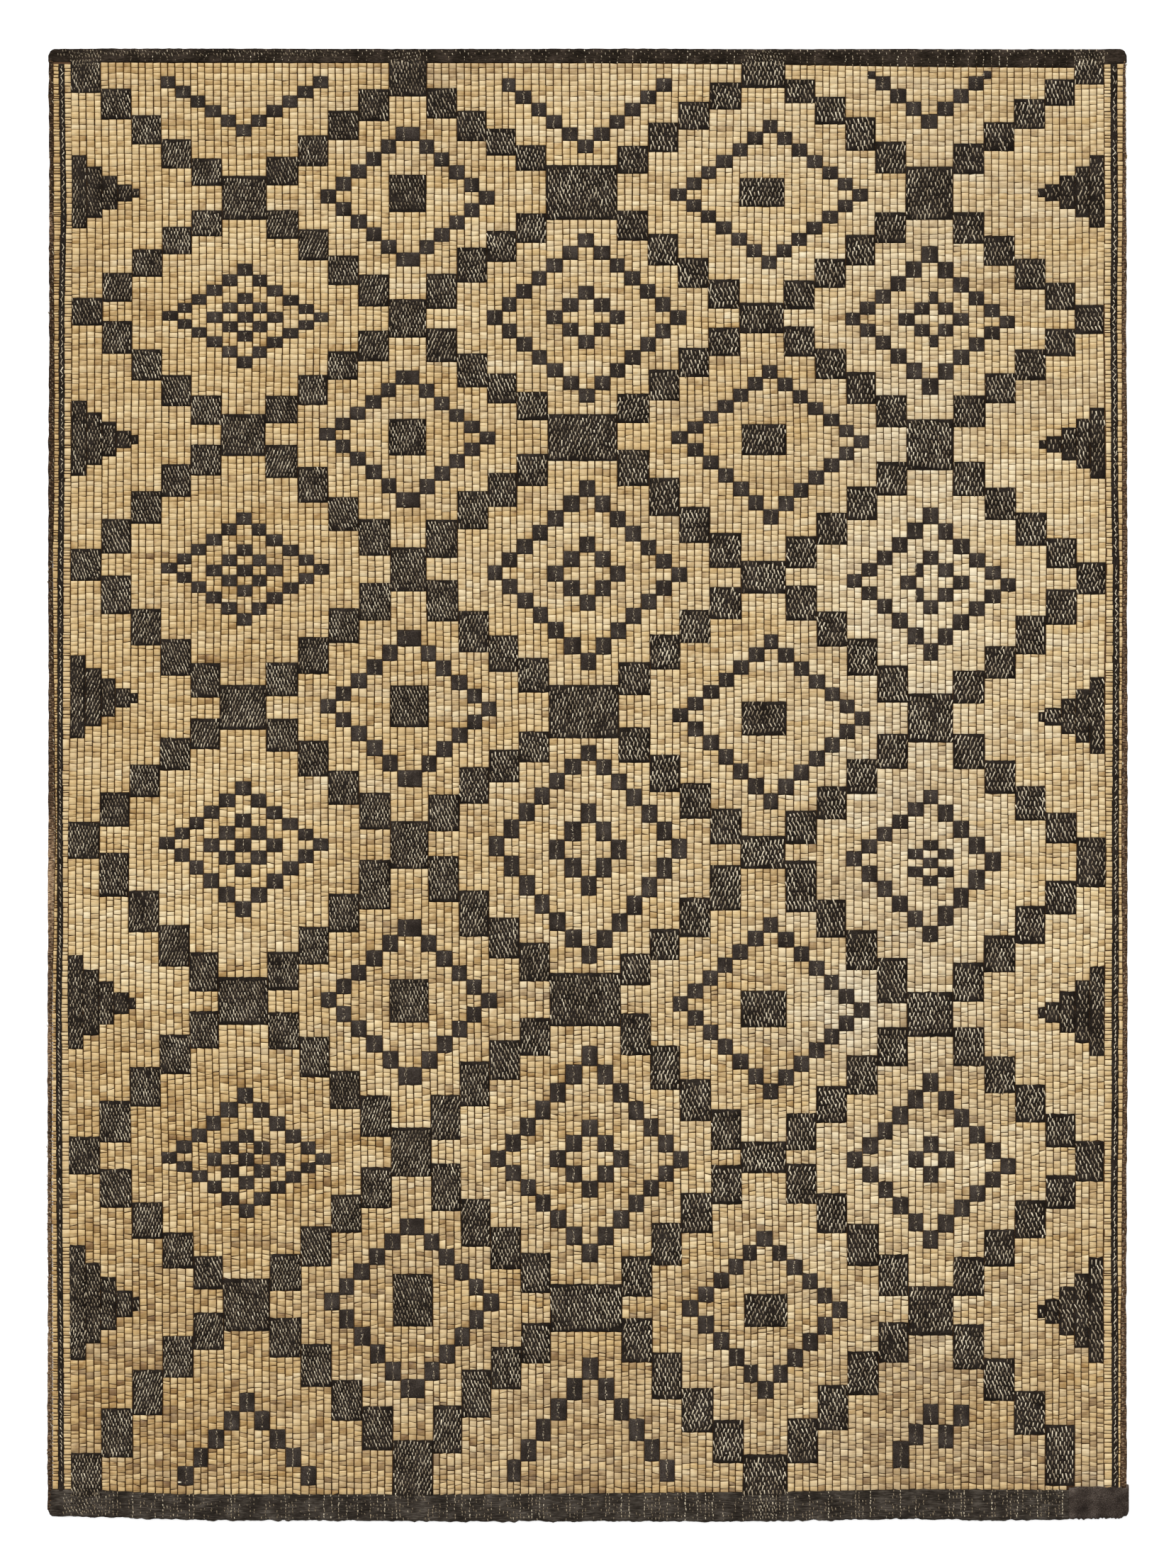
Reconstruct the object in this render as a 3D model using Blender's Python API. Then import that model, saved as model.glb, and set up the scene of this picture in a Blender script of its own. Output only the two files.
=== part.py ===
"""Reed and leather floor mat, laid flat.

X runs along the reeds, Y runs along the leather thongs towards the head end,
and Z is up. The origin is the middle of the underside.

Every solid is a closed ring of points carried along a path: the woven field,
the bands and the corner patch are carried along X, the side bindings along Y.
Distances are in metres, and MM turns millimetres into metres.
"""
import bmesh
import bpy
import numpy as np

MM = 0.001

# Woven field: whole reeds side by side, each one a low rib in the top face
REED_COUNT = 252
REED_CREST = 5.6 * MM
REED_VALLEY = 4.2 * MM
REED_WIDTH_SWING = 0.22

# Leather bands: reeds wholly covered by leather, so their ribs are softer
BAND_CREST = 5.9 * MM
BAND_VALLEY = 5.2 * MM
HEAD_RIBS = 2
FOOT_RIBS = 5
FOOT_WIDTH_SWING = 0.1

# Side bindings: leather folded round the cut ends of the reeds
BINDING_HEIGHT = 6.2 * MM
BINDING_WAVE = 0.3 * MM
BINDING_WAVE_PITCH = 137 * MM

# Corner patch: a mended corner laced over with leather
PATCH_CREST = 6.3 * MM
PATCH_VALLEY = 5.4 * MM
PATCH_RIBS = 4
PATCH_WIDTH_SWING = 0.2
PATCH_BOW = 0.6 * MM

GAP = 0.3 * MM
CORNER_RADIUS = 8 * MM
PATCH_CORNER_RADIUS = 11 * MM
CORNER_STEPS = np.array([0.12, 0.4, 0.8])
LEAST_CORNER_STEP = 0.05
BAND_STEP = 34 * MM
BINDING_STEP = 42 * MM
CLOSEST_STEP = 3 * MM
RAGGED_EDGE = 0.7 * MM
RAGGED_PITCH = 83 * MM

# Columns: x, field end at the head, field end at the foot, bow of the middle reeds along Y (mm)
FIELD_STATIONS = (
    (-754.0, 1020.0, -995.5, 3.0),
    (-560.0, 1018.5, -997.5, -2.0),
    (-300.0, 1018.0, -999.0, -4.0),
    (0.0, 1018.0, -999.0, 0.0),
    (340.0, 1016.5, -998.5, 3.0),
    (677.0, 1012.5, -994.5, -1.0),
    (700.0, 1013.0, -991.2, 0.0),
    (754.0, 1020.0, -989.8, 2.0),
)

# Columns: x, outer edge of the head band, outer edge of the foot band (mm)
BAND_EDGES = (
    (-762.0, 1038.5, -1031.0),
    (-650.0, 1039.0, -1033.5),
    (-530.0, 1039.0, -1037.0),
    (-330.0, 1038.5, -1037.5),
    (-130.0, 1038.5, -1038.8),
    (70.0, 1039.0, -1038.0),
    (250.0, 1038.0, -1038.8),
    (450.0, 1038.5, -1034.5),
    (570.0, 1038.0, -1037.2),
    (677.0, 1038.0, -1035.5),
    (764.0, 1038.5, -1033.0),
)

# Columns: y, outer edge of the left binding, outer edge of the right binding (mm)
SIDE_EDGES = (
    (1025.0, -760.8, 759.0),
    (970.0, -760.8, 758.0),
    (900.0, -760.6, 760.0),
    (730.0, -761.0, 757.5),
    (660.0, -761.4, 757.6),
    (600.0, -761.0, 761.0),
    (430.0, -761.6, 760.0),
    (310.0, -761.8, 761.6),
    (0.0, -762.4, 759.6),
    (-290.0, -762.6, 761.2),
    (-590.0, -762.6, 760.4),
    (-720.0, -762.2, 758.2),
    (-830.0, -762.6, 758.4),
    (-900.0, -762.4, 760.2),
    (-1031.0, -762.0, 759.2),
)

# Columns: x, lower edge of the corner patch (mm)
PATCH_EDGES = (
    (677.3, -1035.5),
    (686.0, -1031.6),
    (702.0, -1033.4),
    (718.0, -1032.2),
    (736.0, -1033.6),
    (753.0, -1032.0),
    (762.8, -1031.0),
)

# Columns: share of the binding's width from its outer side, share of its height
BINDING_PROFILE = (
    (0.16, 0.00),
    (0.02, 0.22),
    (0.00, 0.52),
    (0.12, 0.80),
    (0.38, 0.97),
    (0.70, 1.00),
    (1.00, 0.86),
    (1.00, 0.00),
)

# Linear colours of the two materials
REED_COLOUR = (0.60, 0.44, 0.23)
LEATHER_COLOUR = (0.022, 0.016, 0.013)


def clear_scene():
    for obj in list(bpy.data.objects):
        bpy.data.objects.remove(obj, do_unlink=True)


def make_material(name, colour, roughness):
    material = bpy.data.materials.new(name)
    material.use_nodes = True
    shader = material.node_tree.nodes["Principled BSDF"]
    shader.inputs["Base Color"].default_value = (*colour, 1.0)
    shader.inputs["Roughness"].default_value = roughness
    shader.inputs["Metallic"].default_value = 0.0
    return material


def column(table, index):
    """One column of a millimetre table, in metres."""
    return np.array([row[index] for row in table]) * MM


def read_table(table, at, index):
    """Straight-line reading of a table's column at the places at."""
    places = column(table, 0)
    values = column(table, index)
    order = np.argsort(places)
    return np.interp(at, places[order], values[order])


def corner_cut(distance, radius):
    """How far a round corner pulls an edge in, at a distance from its end."""
    inside = np.clip(radius - distance, 0.0, radius)
    return radius - np.sqrt(radius ** 2 - inside ** 2)


def rib_lines(count, swing):
    """Valleys and crests across a row of ribs, as shares 0 to 1 and as 0 or 1 for height.

    A rib's width is one plus two slow waves of its number, so no two neighbours match.
    """
    number = np.arange(count)
    width = 1.0 + swing * (0.6 * np.sin(2.4 * number) + 0.4 * np.sin(5.3 * number + 1.0))
    valley = np.concatenate(([0.0], np.cumsum(width)))
    valley /= valley[-1]
    crest = 0.5 * (valley[:-1] + valley[1:])
    share = np.empty(2 * count + 1)
    share[0::2] = valley
    share[1::2] = crest
    raised = np.zeros(2 * count + 1)
    raised[1::2] = 1.0
    return share, raised


def ribbed_rings(stations, low, high, bow, share, height):
    """Rings in the YZ plane, one at each x: a ribbed top and a flat floor.

    A rib lies at low + share (high - low) + bow sin(pi share), so both ends stay put.
    """
    along = low[:, None] + share[None, :] * (high - low)[:, None]
    along += bow[:, None] * np.sin(np.pi * share)[None, :]
    rings = np.zeros((len(stations), len(share) + 2, 3))
    rings[:, :, 0] = stations[:, None]
    rings[:, :-2, 1] = along
    rings[:, :-2, 2] = height[None, :]
    rings[:, -2, 1] = high
    rings[:, -1, 1] = low
    return rings


def swept_solid(name, rings, material):
    """Closed solid through a row of equal rings, capped at both ends."""
    stations, points = rings.shape[:2]
    mesh = bpy.data.meshes.new(name)
    solid = bmesh.new()
    verts = [solid.verts.new(place) for place in rings.reshape(-1, 3)]
    for station in range(stations - 1):
        near = station * points
        far = near + points
        for point in range(points):
            after = (point + 1) % points
            solid.faces.new((verts[near + point], verts[near + after],
                             verts[far + after], verts[far + point]))
    solid.faces.new(verts[:points])
    solid.faces.new(verts[-points:])
    bmesh.ops.recalc_face_normals(solid, faces=solid.faces)
    solid.to_mesh(mesh)
    solid.free()
    mesh.materials.append(material)
    obj = bpy.data.objects.new(name, mesh)
    bpy.context.scene.collection.objects.link(obj)
    return obj


def make_field(reed):
    """The woven panel: every reed is one rib that runs the whole width."""
    share, raised = rib_lines(REED_COUNT, REED_WIDTH_SWING)
    height = REED_VALLEY + (REED_CREST - REED_VALLEY) * raised
    rings = ribbed_rings(column(FIELD_STATIONS, 0), column(FIELD_STATIONS, 2),
                         column(FIELD_STATIONS, 1), column(FIELD_STATIONS, 3), share, height)
    return swept_solid("woven_field", rings, reed)


def band_stations(start, end):
    """Even steps between two ends, with the field's own stations kept and closer steps at corners."""
    field = column(FIELD_STATIONS, 0)
    field = field[(field > start + GAP) & (field < end - GAP)]
    corner = CORNER_RADIUS * CORNER_STEPS
    kept = np.concatenate(([start], start + corner, field, end - corner, [end]))
    even = np.linspace(start, end, int(round((end - start) / BAND_STEP)) + 1)
    apart = np.abs(even[:, None] - kept[None, :]).min(axis=1)
    return np.sort(np.concatenate((kept, even[apart > CLOSEST_STEP])))


def ragged(stations):
    """Small in-and-out of a worn edge."""
    turn = 2 * np.pi * stations / RAGGED_PITCH
    return RAGGED_EDGE * (0.6 * np.sin(turn) + 0.4 * np.sin(2.7 * turn + 0.8))


def make_head_band(leather):
    """Leather-covered ribs that close the head end, over both bindings' upper ends."""
    start = column(SIDE_EDGES, 1)[0]
    end = column(SIDE_EDGES, 2)[0]
    stations = band_stations(start, end)
    from_end = np.minimum(stations - start, end - stations)
    from_end = np.maximum(from_end, LEAST_CORNER_STEP * CORNER_RADIUS)
    high = read_table(BAND_EDGES, stations, 1) - corner_cut(from_end, CORNER_RADIUS)
    low = read_table(FIELD_STATIONS, stations, 1) + GAP
    share, raised = rib_lines(HEAD_RIBS, 0.0)
    height = BAND_VALLEY + (BAND_CREST - BAND_VALLEY) * raised
    bow = np.zeros_like(stations)
    rings = ribbed_rings(stations, low, high, bow, share, height)
    return swept_solid("head_band", rings, leather)


def make_foot_band(leather):
    """Wider leather-covered ribs that close the foot end, worn ragged along the outer edge."""
    start = column(FIELD_STATIONS, 0)[0]
    end = column(PATCH_EDGES, 0)[0] - GAP
    stations = band_stations(start, end)
    high = read_table(FIELD_STATIONS, stations, 2) - GAP
    low = read_table(BAND_EDGES, stations, 2) + ragged(stations)
    share, raised = rib_lines(FOOT_RIBS, FOOT_WIDTH_SWING)
    height = BAND_VALLEY + (BAND_CREST - BAND_VALLEY) * raised
    bow = np.zeros_like(stations)
    rings = ribbed_rings(stations, low, high, bow, share, height)
    return swept_solid("foot_band", rings, leather)


def make_corner_patch(leather):
    """The mended corner at the right of the foot end."""
    start = column(PATCH_EDGES, 0)[0]
    end = column(PATCH_EDGES, 0)[-1]
    bend = end - PATCH_CORNER_RADIUS * CORNER_STEPS
    field = column(FIELD_STATIONS, 0)
    field = field[(field > start + GAP) & (field < end - GAP)]
    stations = np.unique(np.concatenate((column(PATCH_EDGES, 0), field, bend)))
    from_end = np.maximum(end - stations, LEAST_CORNER_STEP * PATCH_CORNER_RADIUS)
    high = read_table(FIELD_STATIONS, stations, 2) - GAP
    low = read_table(PATCH_EDGES, stations, 1) + corner_cut(from_end, PATCH_CORNER_RADIUS)
    share, raised = rib_lines(PATCH_RIBS, PATCH_WIDTH_SWING)
    height = PATCH_VALLEY + (PATCH_CREST - PATCH_VALLEY) * raised
    bow = PATCH_BOW * np.sin(2 * np.pi * (stations - start) / (end - start))
    rings = ribbed_rings(stations, low, high, bow, share, height)
    return swept_solid("corner_patch", rings, leather)


def make_binding(name, side, inner, top, bottom, rounded, leather):
    """One side binding: its profile carried along Y between the end pieces.

    side is -1 on the left and 1 on the right, inner is the x of its straight inner wall.
    rounded pulls the outer edge in at the lower end, as on the free corner.
    """
    steps = int(round((top - bottom) / BINDING_STEP)) + 1
    stations = np.linspace(bottom, top, steps)
    if rounded:
        bend = bottom + CORNER_RADIUS * CORNER_STEPS
        stations = np.unique(np.concatenate((stations, bend)))
    outer = read_table(SIDE_EDGES, stations, 1 if side < 0 else 2)
    outer += side * BINDING_WAVE * np.sin(2 * np.pi * stations / BINDING_WAVE_PITCH)
    if rounded:
        from_end = np.maximum(stations - bottom, LEAST_CORNER_STEP * CORNER_RADIUS)
        outer -= side * corner_cut(from_end, CORNER_RADIUS)
    width = inner - outer
    across = np.array([row[0] for row in BINDING_PROFILE])
    height = np.array([row[1] for row in BINDING_PROFILE]) * BINDING_HEIGHT
    rings = np.zeros((len(stations), len(BINDING_PROFILE), 3))
    rings[:, :, 0] = outer[:, None] + across[None, :] * width[:, None]
    rings[:, :, 1] = stations[:, None]
    rings[:, :, 2] = height[None, :]
    return swept_solid(name, rings, leather)


def make_bindings(leather):
    field_left = column(FIELD_STATIONS, 0)[0]
    field_right = column(FIELD_STATIONS, 0)[-1]
    head_left = column(FIELD_STATIONS, 1)[0]
    head_right = column(FIELD_STATIONS, 1)[-1]
    foot_right = column(FIELD_STATIONS, 2)[-1]
    foot_left = column(SIDE_EDGES, 0)[-1]
    make_binding("left_binding", -1, field_left - GAP, head_left, foot_left, True, leather)
    make_binding("right_binding", 1, field_right + GAP, head_right, foot_right, False, leather)


def centre_on_origin():
    """Slide every piece by one step, so that the whole mat's box is centred on X and Y."""
    pieces = [obj for obj in bpy.context.scene.objects if obj.type == "MESH"]
    places = np.array([vertex.co for obj in pieces for vertex in obj.data.vertices])
    middle = 0.5 * (places.min(axis=0) + places.max(axis=0))
    for obj in pieces:
        obj.location = (-middle[0], -middle[1], 0.0)


def main():
    clear_scene()
    reed = make_material("reed", REED_COLOUR, 0.55)
    leather = make_material("leather", LEATHER_COLOUR, 0.6)
    make_field(reed)
    make_head_band(leather)
    make_foot_band(leather)
    make_corner_patch(leather)
    make_bindings(leather)
    centre_on_origin()


main()
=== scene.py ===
# %% [markdown]
# # A reed and leather floor mat
# The mat is a panel of pale split reeds, about 250 of them laid side by side over two metres of length.
# Dark leather thongs, some 11 mm apart, lace the reeds together, and leather worked over them draws a
# stepped lattice with diamonds in it. Leather bands close the two ends and bindings hide the cut reed ends.
# Every visible reed cell, thong, leather block and fleck is built here as real relief, because raking
# light and close views show the lacing at once.

# %% Load the frame
import math
import bpy
import numpy as np
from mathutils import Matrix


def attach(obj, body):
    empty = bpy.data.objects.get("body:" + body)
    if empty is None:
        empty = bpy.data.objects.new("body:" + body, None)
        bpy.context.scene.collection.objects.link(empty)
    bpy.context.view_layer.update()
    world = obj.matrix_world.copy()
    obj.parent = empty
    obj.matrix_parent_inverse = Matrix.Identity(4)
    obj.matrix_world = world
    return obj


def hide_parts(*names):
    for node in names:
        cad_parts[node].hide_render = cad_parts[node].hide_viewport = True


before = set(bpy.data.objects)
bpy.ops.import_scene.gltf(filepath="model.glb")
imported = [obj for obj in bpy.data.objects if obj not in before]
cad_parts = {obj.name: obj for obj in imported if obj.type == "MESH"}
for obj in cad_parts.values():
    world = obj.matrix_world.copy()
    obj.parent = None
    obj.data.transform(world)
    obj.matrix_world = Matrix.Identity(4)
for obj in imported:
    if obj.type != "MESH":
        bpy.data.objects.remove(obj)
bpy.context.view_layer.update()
MM = 0.001
SEED = 252
RANDOM = np.random.default_rng(SEED)

# %% [markdown]
# ## Places on the mat
# A weaver counts from a corner, so all the places below are millimetres across (to the right) and down
# (towards the foot). The count starts at the corner of the picture, which is 67 mm left of the mat and
# 69 mm above it. One function turns such a place into metres in the frame, where the mat's middle is zero.

# %% From places to metres
CHART_MIDDLE = (829.7, 1108.2)
PICTURE_SIZE = (1652.0, 2213.0)


def to_mat(across, down, height):
    """Points in metres: x is across less the middle, y is the middle less down, z is the height."""
    across, down, height = np.broadcast_arrays(across, down, height)
    points = np.stack((across - CHART_MIDDLE[0], CHART_MIDDLE[1] - down, height), axis=-1)
    return points.astype(float) * MM


def read_table(text):
    """A small table with named columns, as one array for each name."""
    rows = [line.split() for line in text.strip().split("\n")]
    return {name: np.array([float(row[i]) for row in rows[1:]]) for i, name in enumerate(rows[0])}


# %% [markdown]
# ## Camera
# The mat was seen from straight above. A long lens far away keeps its edges parallel, and its distance
# and length are worked out together so that the picture takes in 1.652 m by 2.213 m. Blender lays the
# sensor's width along the picture's longer side, which is its height here.

# %% Camera straight above
CAMERA_HEIGHT = 6.0
SENSOR_WIDTH = 36.0
FARTHEST_SEEN = 100.0
camera_data = bpy.data.cameras.new("camera")
camera_data.sensor_width = SENSOR_WIDTH
camera_data.lens = SENSOR_WIDTH * CAMERA_HEIGHT / (PICTURE_SIZE[1] * MM)
camera_data.clip_end = FARTHEST_SEEN
camera = bpy.data.objects.new("camera", camera_data)
camera.location = to_mat(PICTURE_SIZE[0] / 2, PICTURE_SIZE[1] / 2, CAMERA_HEIGHT / MM)
bpy.context.scene.collection.objects.link(camera)
bpy.context.scene.camera = camera
print("lens, in mm:", round(camera_data.lens, 1))

# %% [markdown]
# ## Building meshes from arrays
# Every piece is a set of points and faces worked out with numpy. One helper puts them into a mesh,
# with any per-point values that a material reads. It also lays out a UV map for baking: the top is a
# plain view from above, and walls and undersides go into narrow strips of their own below it.

# %% A piece from arrays
BAKE_UV = "OFBake"
UNDER_ROWS = (0.0, 0.015)
WALL_ROWS = (0.019, 0.028)
TOP_ROWS = (0.035, 1.0)
LEAST_FACING = 0.2


def bake_layout(points, faces):
    """UV of each face corner: seen from above, with undersides and walls squeezed into two strips.

    A wall runs along its strip by the mean of its shares across and up the mat, and rises in it by its
    share of the height. Each kind of face fills its own rows of the square.
    """
    low = points.min(axis=0)
    span = np.maximum(points.max(axis=0) - low, 1e-6)
    share = ((points - low) / span)[faces]
    corner = points[faces]
    normal = np.cross(corner[:, 2] - corner[:, 0], corner[:, -1] - corner[:, 1])
    facing = normal[:, 2] / np.maximum(np.linalg.norm(normal, axis=1), 1e-12)
    above = facing > LEAST_FACING
    below = facing < -LEAST_FACING
    wall = ~(above | below)
    uv = share[:, :, :2].copy()
    uv[wall, :, 0] = share[wall, :, :2].mean(axis=-1)
    uv[wall, :, 1] = share[wall, :, 2]
    for chosen, (first, last) in ((above, TOP_ROWS), (below, UNDER_ROWS), (wall, WALL_ROWS)):
        uv[chosen, :, 1] = first + (last - first) * uv[chosen, :, 1]
    return uv


def add_piece(name, points, faces, slot, material, replaced=(), smooth=True, **values):
    """A mesh object at the origin from (n, 3) points in metres and (m, k) faces, riding on the mat."""
    points = np.asarray(points, float).reshape(-1, 3)
    faces = np.asarray(faces, np.int32)
    mesh = bpy.data.meshes.new(name)
    mesh.vertices.add(len(points))
    mesh.vertices.foreach_set("co", points.astype(np.float32).ravel())
    mesh.loops.add(faces.size)
    mesh.loops.foreach_set("vertex_index", faces.ravel())
    mesh.polygons.add(len(faces))
    mesh.polygons.foreach_set("loop_start", np.arange(0, faces.size, faces.shape[1], dtype=np.int32))
    mesh.update(calc_edges=True)
    for value_name, value in values.items():
        attribute = mesh.attributes.new(value_name, "FLOAT", "POINT")
        attribute.data.foreach_set("value", np.asarray(value, np.float32).ravel())
    layout = mesh.uv_layers.new(name=BAKE_UV)
    layout.data.foreach_set("uv", bake_layout(points, faces).astype(np.float32).ravel())
    if smooth:
        mesh.shade_smooth()
    mesh.materials.append(material)
    piece = bpy.data.objects.new(name, mesh)
    bpy.context.scene.collection.objects.link(piece)
    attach(piece, "root")
    if replaced:
        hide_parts(*replaced)
    triangles = len(faces) * (faces.shape[1] - 2)
    print(f"{name}: {len(points)} points, {triangles} triangles")
    return piece


def smooth_noise(shape, spans):
    """Seeded noise of unit spread: white noise blurred along each axis by a bell of the given span."""
    spectrum = np.fft.fftn(RANDOM.standard_normal(shape))
    for axis, span in enumerate(spans):
        wave = np.fft.fftfreq(shape[axis])
        bell = np.exp(-0.5 * (2 * np.pi * wave * span) ** 2)
        spectrum *= bell.reshape([-1 if i == axis else 1 for i in range(len(shape))])
    noise = np.real(np.fft.ifftn(spectrum))
    return (noise - noise.mean()) / max(noise.std(), 1e-9)


# %% [markdown]
# ## Building materials from nodes
# Three small helpers serve all the materials: one turns a hex colour into the linear values that
# Blender works in, one adds a node with its settings and links, and one fills a colour ramp.

# %% Helpers for materials


def colour(hex_code):
    """A hex colour as seen on a screen, turned to linear light."""
    screen = np.array([int(hex_code[i:i + 2], 16) / 255 for i in (1, 3, 5)])
    linear = np.where(screen <= 0.04045, screen / 12.92, ((screen + 0.055) / 1.055) ** 2.4)
    return (*linear, 1.0)


def add_node(material, kind, inputs=None, **settings):
    """A node with its own settings; inputs gives a value or another node's output for each input."""
    node = material.node_tree.nodes.new(kind)
    for name, value in settings.items():
        setattr(node, name, value)
    for name, value in (inputs or {}).items():
        if isinstance(value, bpy.types.NodeSocket):
            material.node_tree.links.new(value, node.inputs[name])
        else:
            node.inputs[name].default_value = value
    return node


def fill_ramp(ramp, *stops):
    """Sets a colour ramp's stops, each a place from 0 to 1 and a hex colour, and returns its output."""
    elements = ramp.color_ramp.elements
    while len(elements) < len(stops):
        elements.new(0.5)
    for element, (place, hex_code) in zip(elements, stops):
        element.position = place
        element.color = colour(hex_code)
    return ramp.outputs["Color"]


def new_material(name, roughness, ior=1.5, gloss=0.5):
    """An empty material with its Principled shader, of one roughness, index of refraction and gloss."""
    material = bpy.data.materials.new(name)
    material.use_nodes = True
    shader = material.node_tree.nodes["Principled BSDF"]
    shader.inputs["Roughness"].default_value = roughness
    shader.inputs["IOR"].default_value = ior
    shader.inputs["Specular IOR Level"].default_value = gloss
    return material, shader


# %% [markdown]
# ## Floor and light
# The mat lies on plain white paper over a light table, which takes away its shadow, in soft, even light
# from all round. One large lamp far beyond the head end, a little to the left, makes each reed a little
# lighter along its upper edge than along its lower one.

# %% Floor and light
PAPER_GLOW = 0.45
FLOOR_REACH = 30.0
bpy.context.scene.view_settings.view_transform = "Standard"
paper, paper_shader = new_material("white studio paper", 0.9)
paper_shader.inputs["Base Color"].default_value = colour("#F6F6F6")
paper_shader.inputs["Emission Color"].default_value = colour("#FFFFFF")
paper_shader.inputs["Emission Strength"].default_value = PAPER_GLOW
floor_mesh = bpy.data.meshes.new("studio_floor")
floor_corners = [(x * FLOOR_REACH, y * FLOOR_REACH, 0) for x, y in ((-1, -1), (1, -1), (1, 1), (-1, 1))]
floor_mesh.from_pydata(floor_corners, [], [(0, 1, 2, 3)])
floor_mesh.materials.append(paper)
studio_floor = bpy.data.objects.new("studio_floor", floor_mesh)
bpy.context.scene.collection.objects.link(studio_floor)

SKY_STRENGTH = 0.75
world = bpy.data.worlds.new("soft studio")
world.use_nodes = True
world.node_tree.nodes["Background"].inputs["Color"].default_value = (1.0, 1.0, 1.0, 1.0)
world.node_tree.nodes["Background"].inputs["Strength"].default_value = SKY_STRENGTH
bpy.context.scene.world = world

LAMP_STRENGTH = 2.3
LAMP_SPREAD = math.radians(30)
LAMP_PLACE = (-1.2, 4.2, 3.6)
lamp_data = bpy.data.lights.new("far soft lamp", "SUN")
lamp_data.energy = LAMP_STRENGTH
lamp_data.angle = LAMP_SPREAD
lamp = bpy.data.objects.new("far soft lamp", lamp_data)
lamp.location = LAMP_PLACE
lamp.rotation_euler = (-math.atan2(LAMP_PLACE[1], LAMP_PLACE[2]), 0.0,
                       math.atan2(-LAMP_PLACE[0], LAMP_PLACE[1]))
bpy.context.scene.collection.objects.link(lamp)
print("floor, sky and lamp set")

# %% [markdown]
# ## The chart's columns
# The pattern is worked on 136 columns of reed between thongs. Five narrow groups of columns carry the
# crossings of the lattice, and between them stand groups of 16, or 20 at the sides, that the lattice steps
# across four columns at a time. Hand-pulled thongs wander, so the groups' edges are read at eleven places
# down the mat and everything between them is spread evenly.

# %% Columns of the chart
GROUP_COLUMNS = (20, 6, 16, 5, 16, 9, 16, 6, 16, 6, 20)
GROUP_EDGES = read_table("""
down   weave_l c1_l   c1_r   c2_l   c2_r   c3_l   c3_r   c4_l    c4_r    c5_l    c5_r    weave_r
69     100.5   310.5  377    548.5  602    770    871    1046.5  1107.5  1277    1344    1556.5
275    103     313    378    549    602    771.5  870.5  1043    1106.5  1277    1344    1557.5
450    102     314    379    548    602    772    871    1042    1105    1278    1344.5  1557
615    101     312    376    548    602    773.5  871.5  1046    1109    1278.5  1345.5  1559
805    100     313    378    551    603    773    872    1044    1108.5  1280    1345    1560
1005   100     311    376.5  550    606    775    873.5  1046    1110    1280    1344    1558
1200   97      310    377    551    605.5  775    873    1044    1108    1280    1344.5  1559.5
1415   97      309    379    550    605    776    875    1044.5  1109    1279.5  1343.5  1557.5
1630   99      314    382    552    608    776    876    1045    1108    1281    1346    1557
1842   100     316    381    555    610    776.5  877    1050    1110    1281    1344    1556
2140   102     316    382    553.5  610.5  777    877    1047.5  1111    1281    1344    1557
""")
SELVEDGES = read_table("""
down   left_binding  left_cord  right_cord  right_binding
69     75.4          87.0       1570.8      1584.4
240    76.0          89.5       1571.0      1583.8
300    76.0          90.3       1572.0      1583.2
440    76.5          87.5       1570.6      1582.4
560    77.0          87.6       1571.5      1582.6
700    76.6          87.4       1571.8      1583.0
800    74.4          86.0       1573.8      1583.3
940    76.0          85.6       1574.0      1582.8
1180   79.0          85.2       1573.0      1582.0
1320   76.0          85.4       1573.0      1583.0
1420   73.8          83.4       1572.5      1583.7
1560   73.4          84.0       1572.5      1583.6
1650   73.0          84.4       1571.5      1583.0
1790   73.4          85.2       1571.5      1582.2
1880   73.7          86.0       1572.3      1580.8
2140   74.2          87.2       1572.8      1580.4
""")
RIMS = read_table("""
down   left   right
69     69.5   1587.0
120    68.9   1588.0
340    70.0   1588.6
620    69.2   1589.3
900    69.2   1589.6
1250   67.9   1589.8
1550   67.9   1590.0
1800   67.9   1588.4
2000   67.6   1589.1
2140   67.6   1589.1
""")
LEFT_CORD_HALF = 4.1
RIGHT_CORD_HALF = 4.7
RIGHT_BOW = 2.0
PATTERN_COLUMNS = sum(GROUP_COLUMNS)
print("pattern columns:", PATTERN_COLUMNS, "thongs that bound them:", PATTERN_COLUMNS + 1)

# %% [markdown]
# ## The reeds' lines
# Each reed crosses the whole mat, so the lines between reeds are the second set of lines of the chart.
# Near the head they run on from column to column. Towards the foot the lacing has slipped, and each column
# has its own steps, like courses of brick. The lines start from the solid model's rule for reed widths and
# get three kinds of seeded noise: slow bends that all columns share, a drift of each column and a
# jitter of each line. Both of the last two grow towards the foot. Near the top left corner the reeds also
# run a little downhill to the right.

# %% Reading the tables
REED_COUNT = 252
REED_WIDTH_SWING = 0.22
REED_WAVES = ((0.6, 2.4, 0.0), (0.4, 5.3, 1.0))
PANEL_HEAD = 90.0
PANEL_FOOT = 2106.0
FIELD_ENDS = read_table("""
across  head   foot
75      88.0   2102.0
145     89.0   2102.6
250     89.7   2108.2
650     90.0   2108.6
900     90.3   2106.3
1110    92.5   2104.5
1300    95.4   2101.0
1507    96.7   2102.2
1520    96.5   2097.8
1560    93.0   2097.4
1590    89.0   2099.0
""")


def read_at(table, name, places):
    """A table's named column at the given places, on straight lines between its rows."""
    return np.interp(places, table[next(iter(table))], table[name])


def reed_shares():
    """Shares of the length at which reeds meet, from the head: widths are one plus two slow waves."""
    number = np.arange(REED_COUNT)
    swing = sum(size * np.sin(pace * number + shift) for size, pace, shift in REED_WAVES)
    width = 1 + REED_WIDTH_SWING * swing
    from_foot = np.concatenate(([0.0], np.cumsum(width))) / width.sum()
    return 1 - from_foot[::-1]


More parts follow.
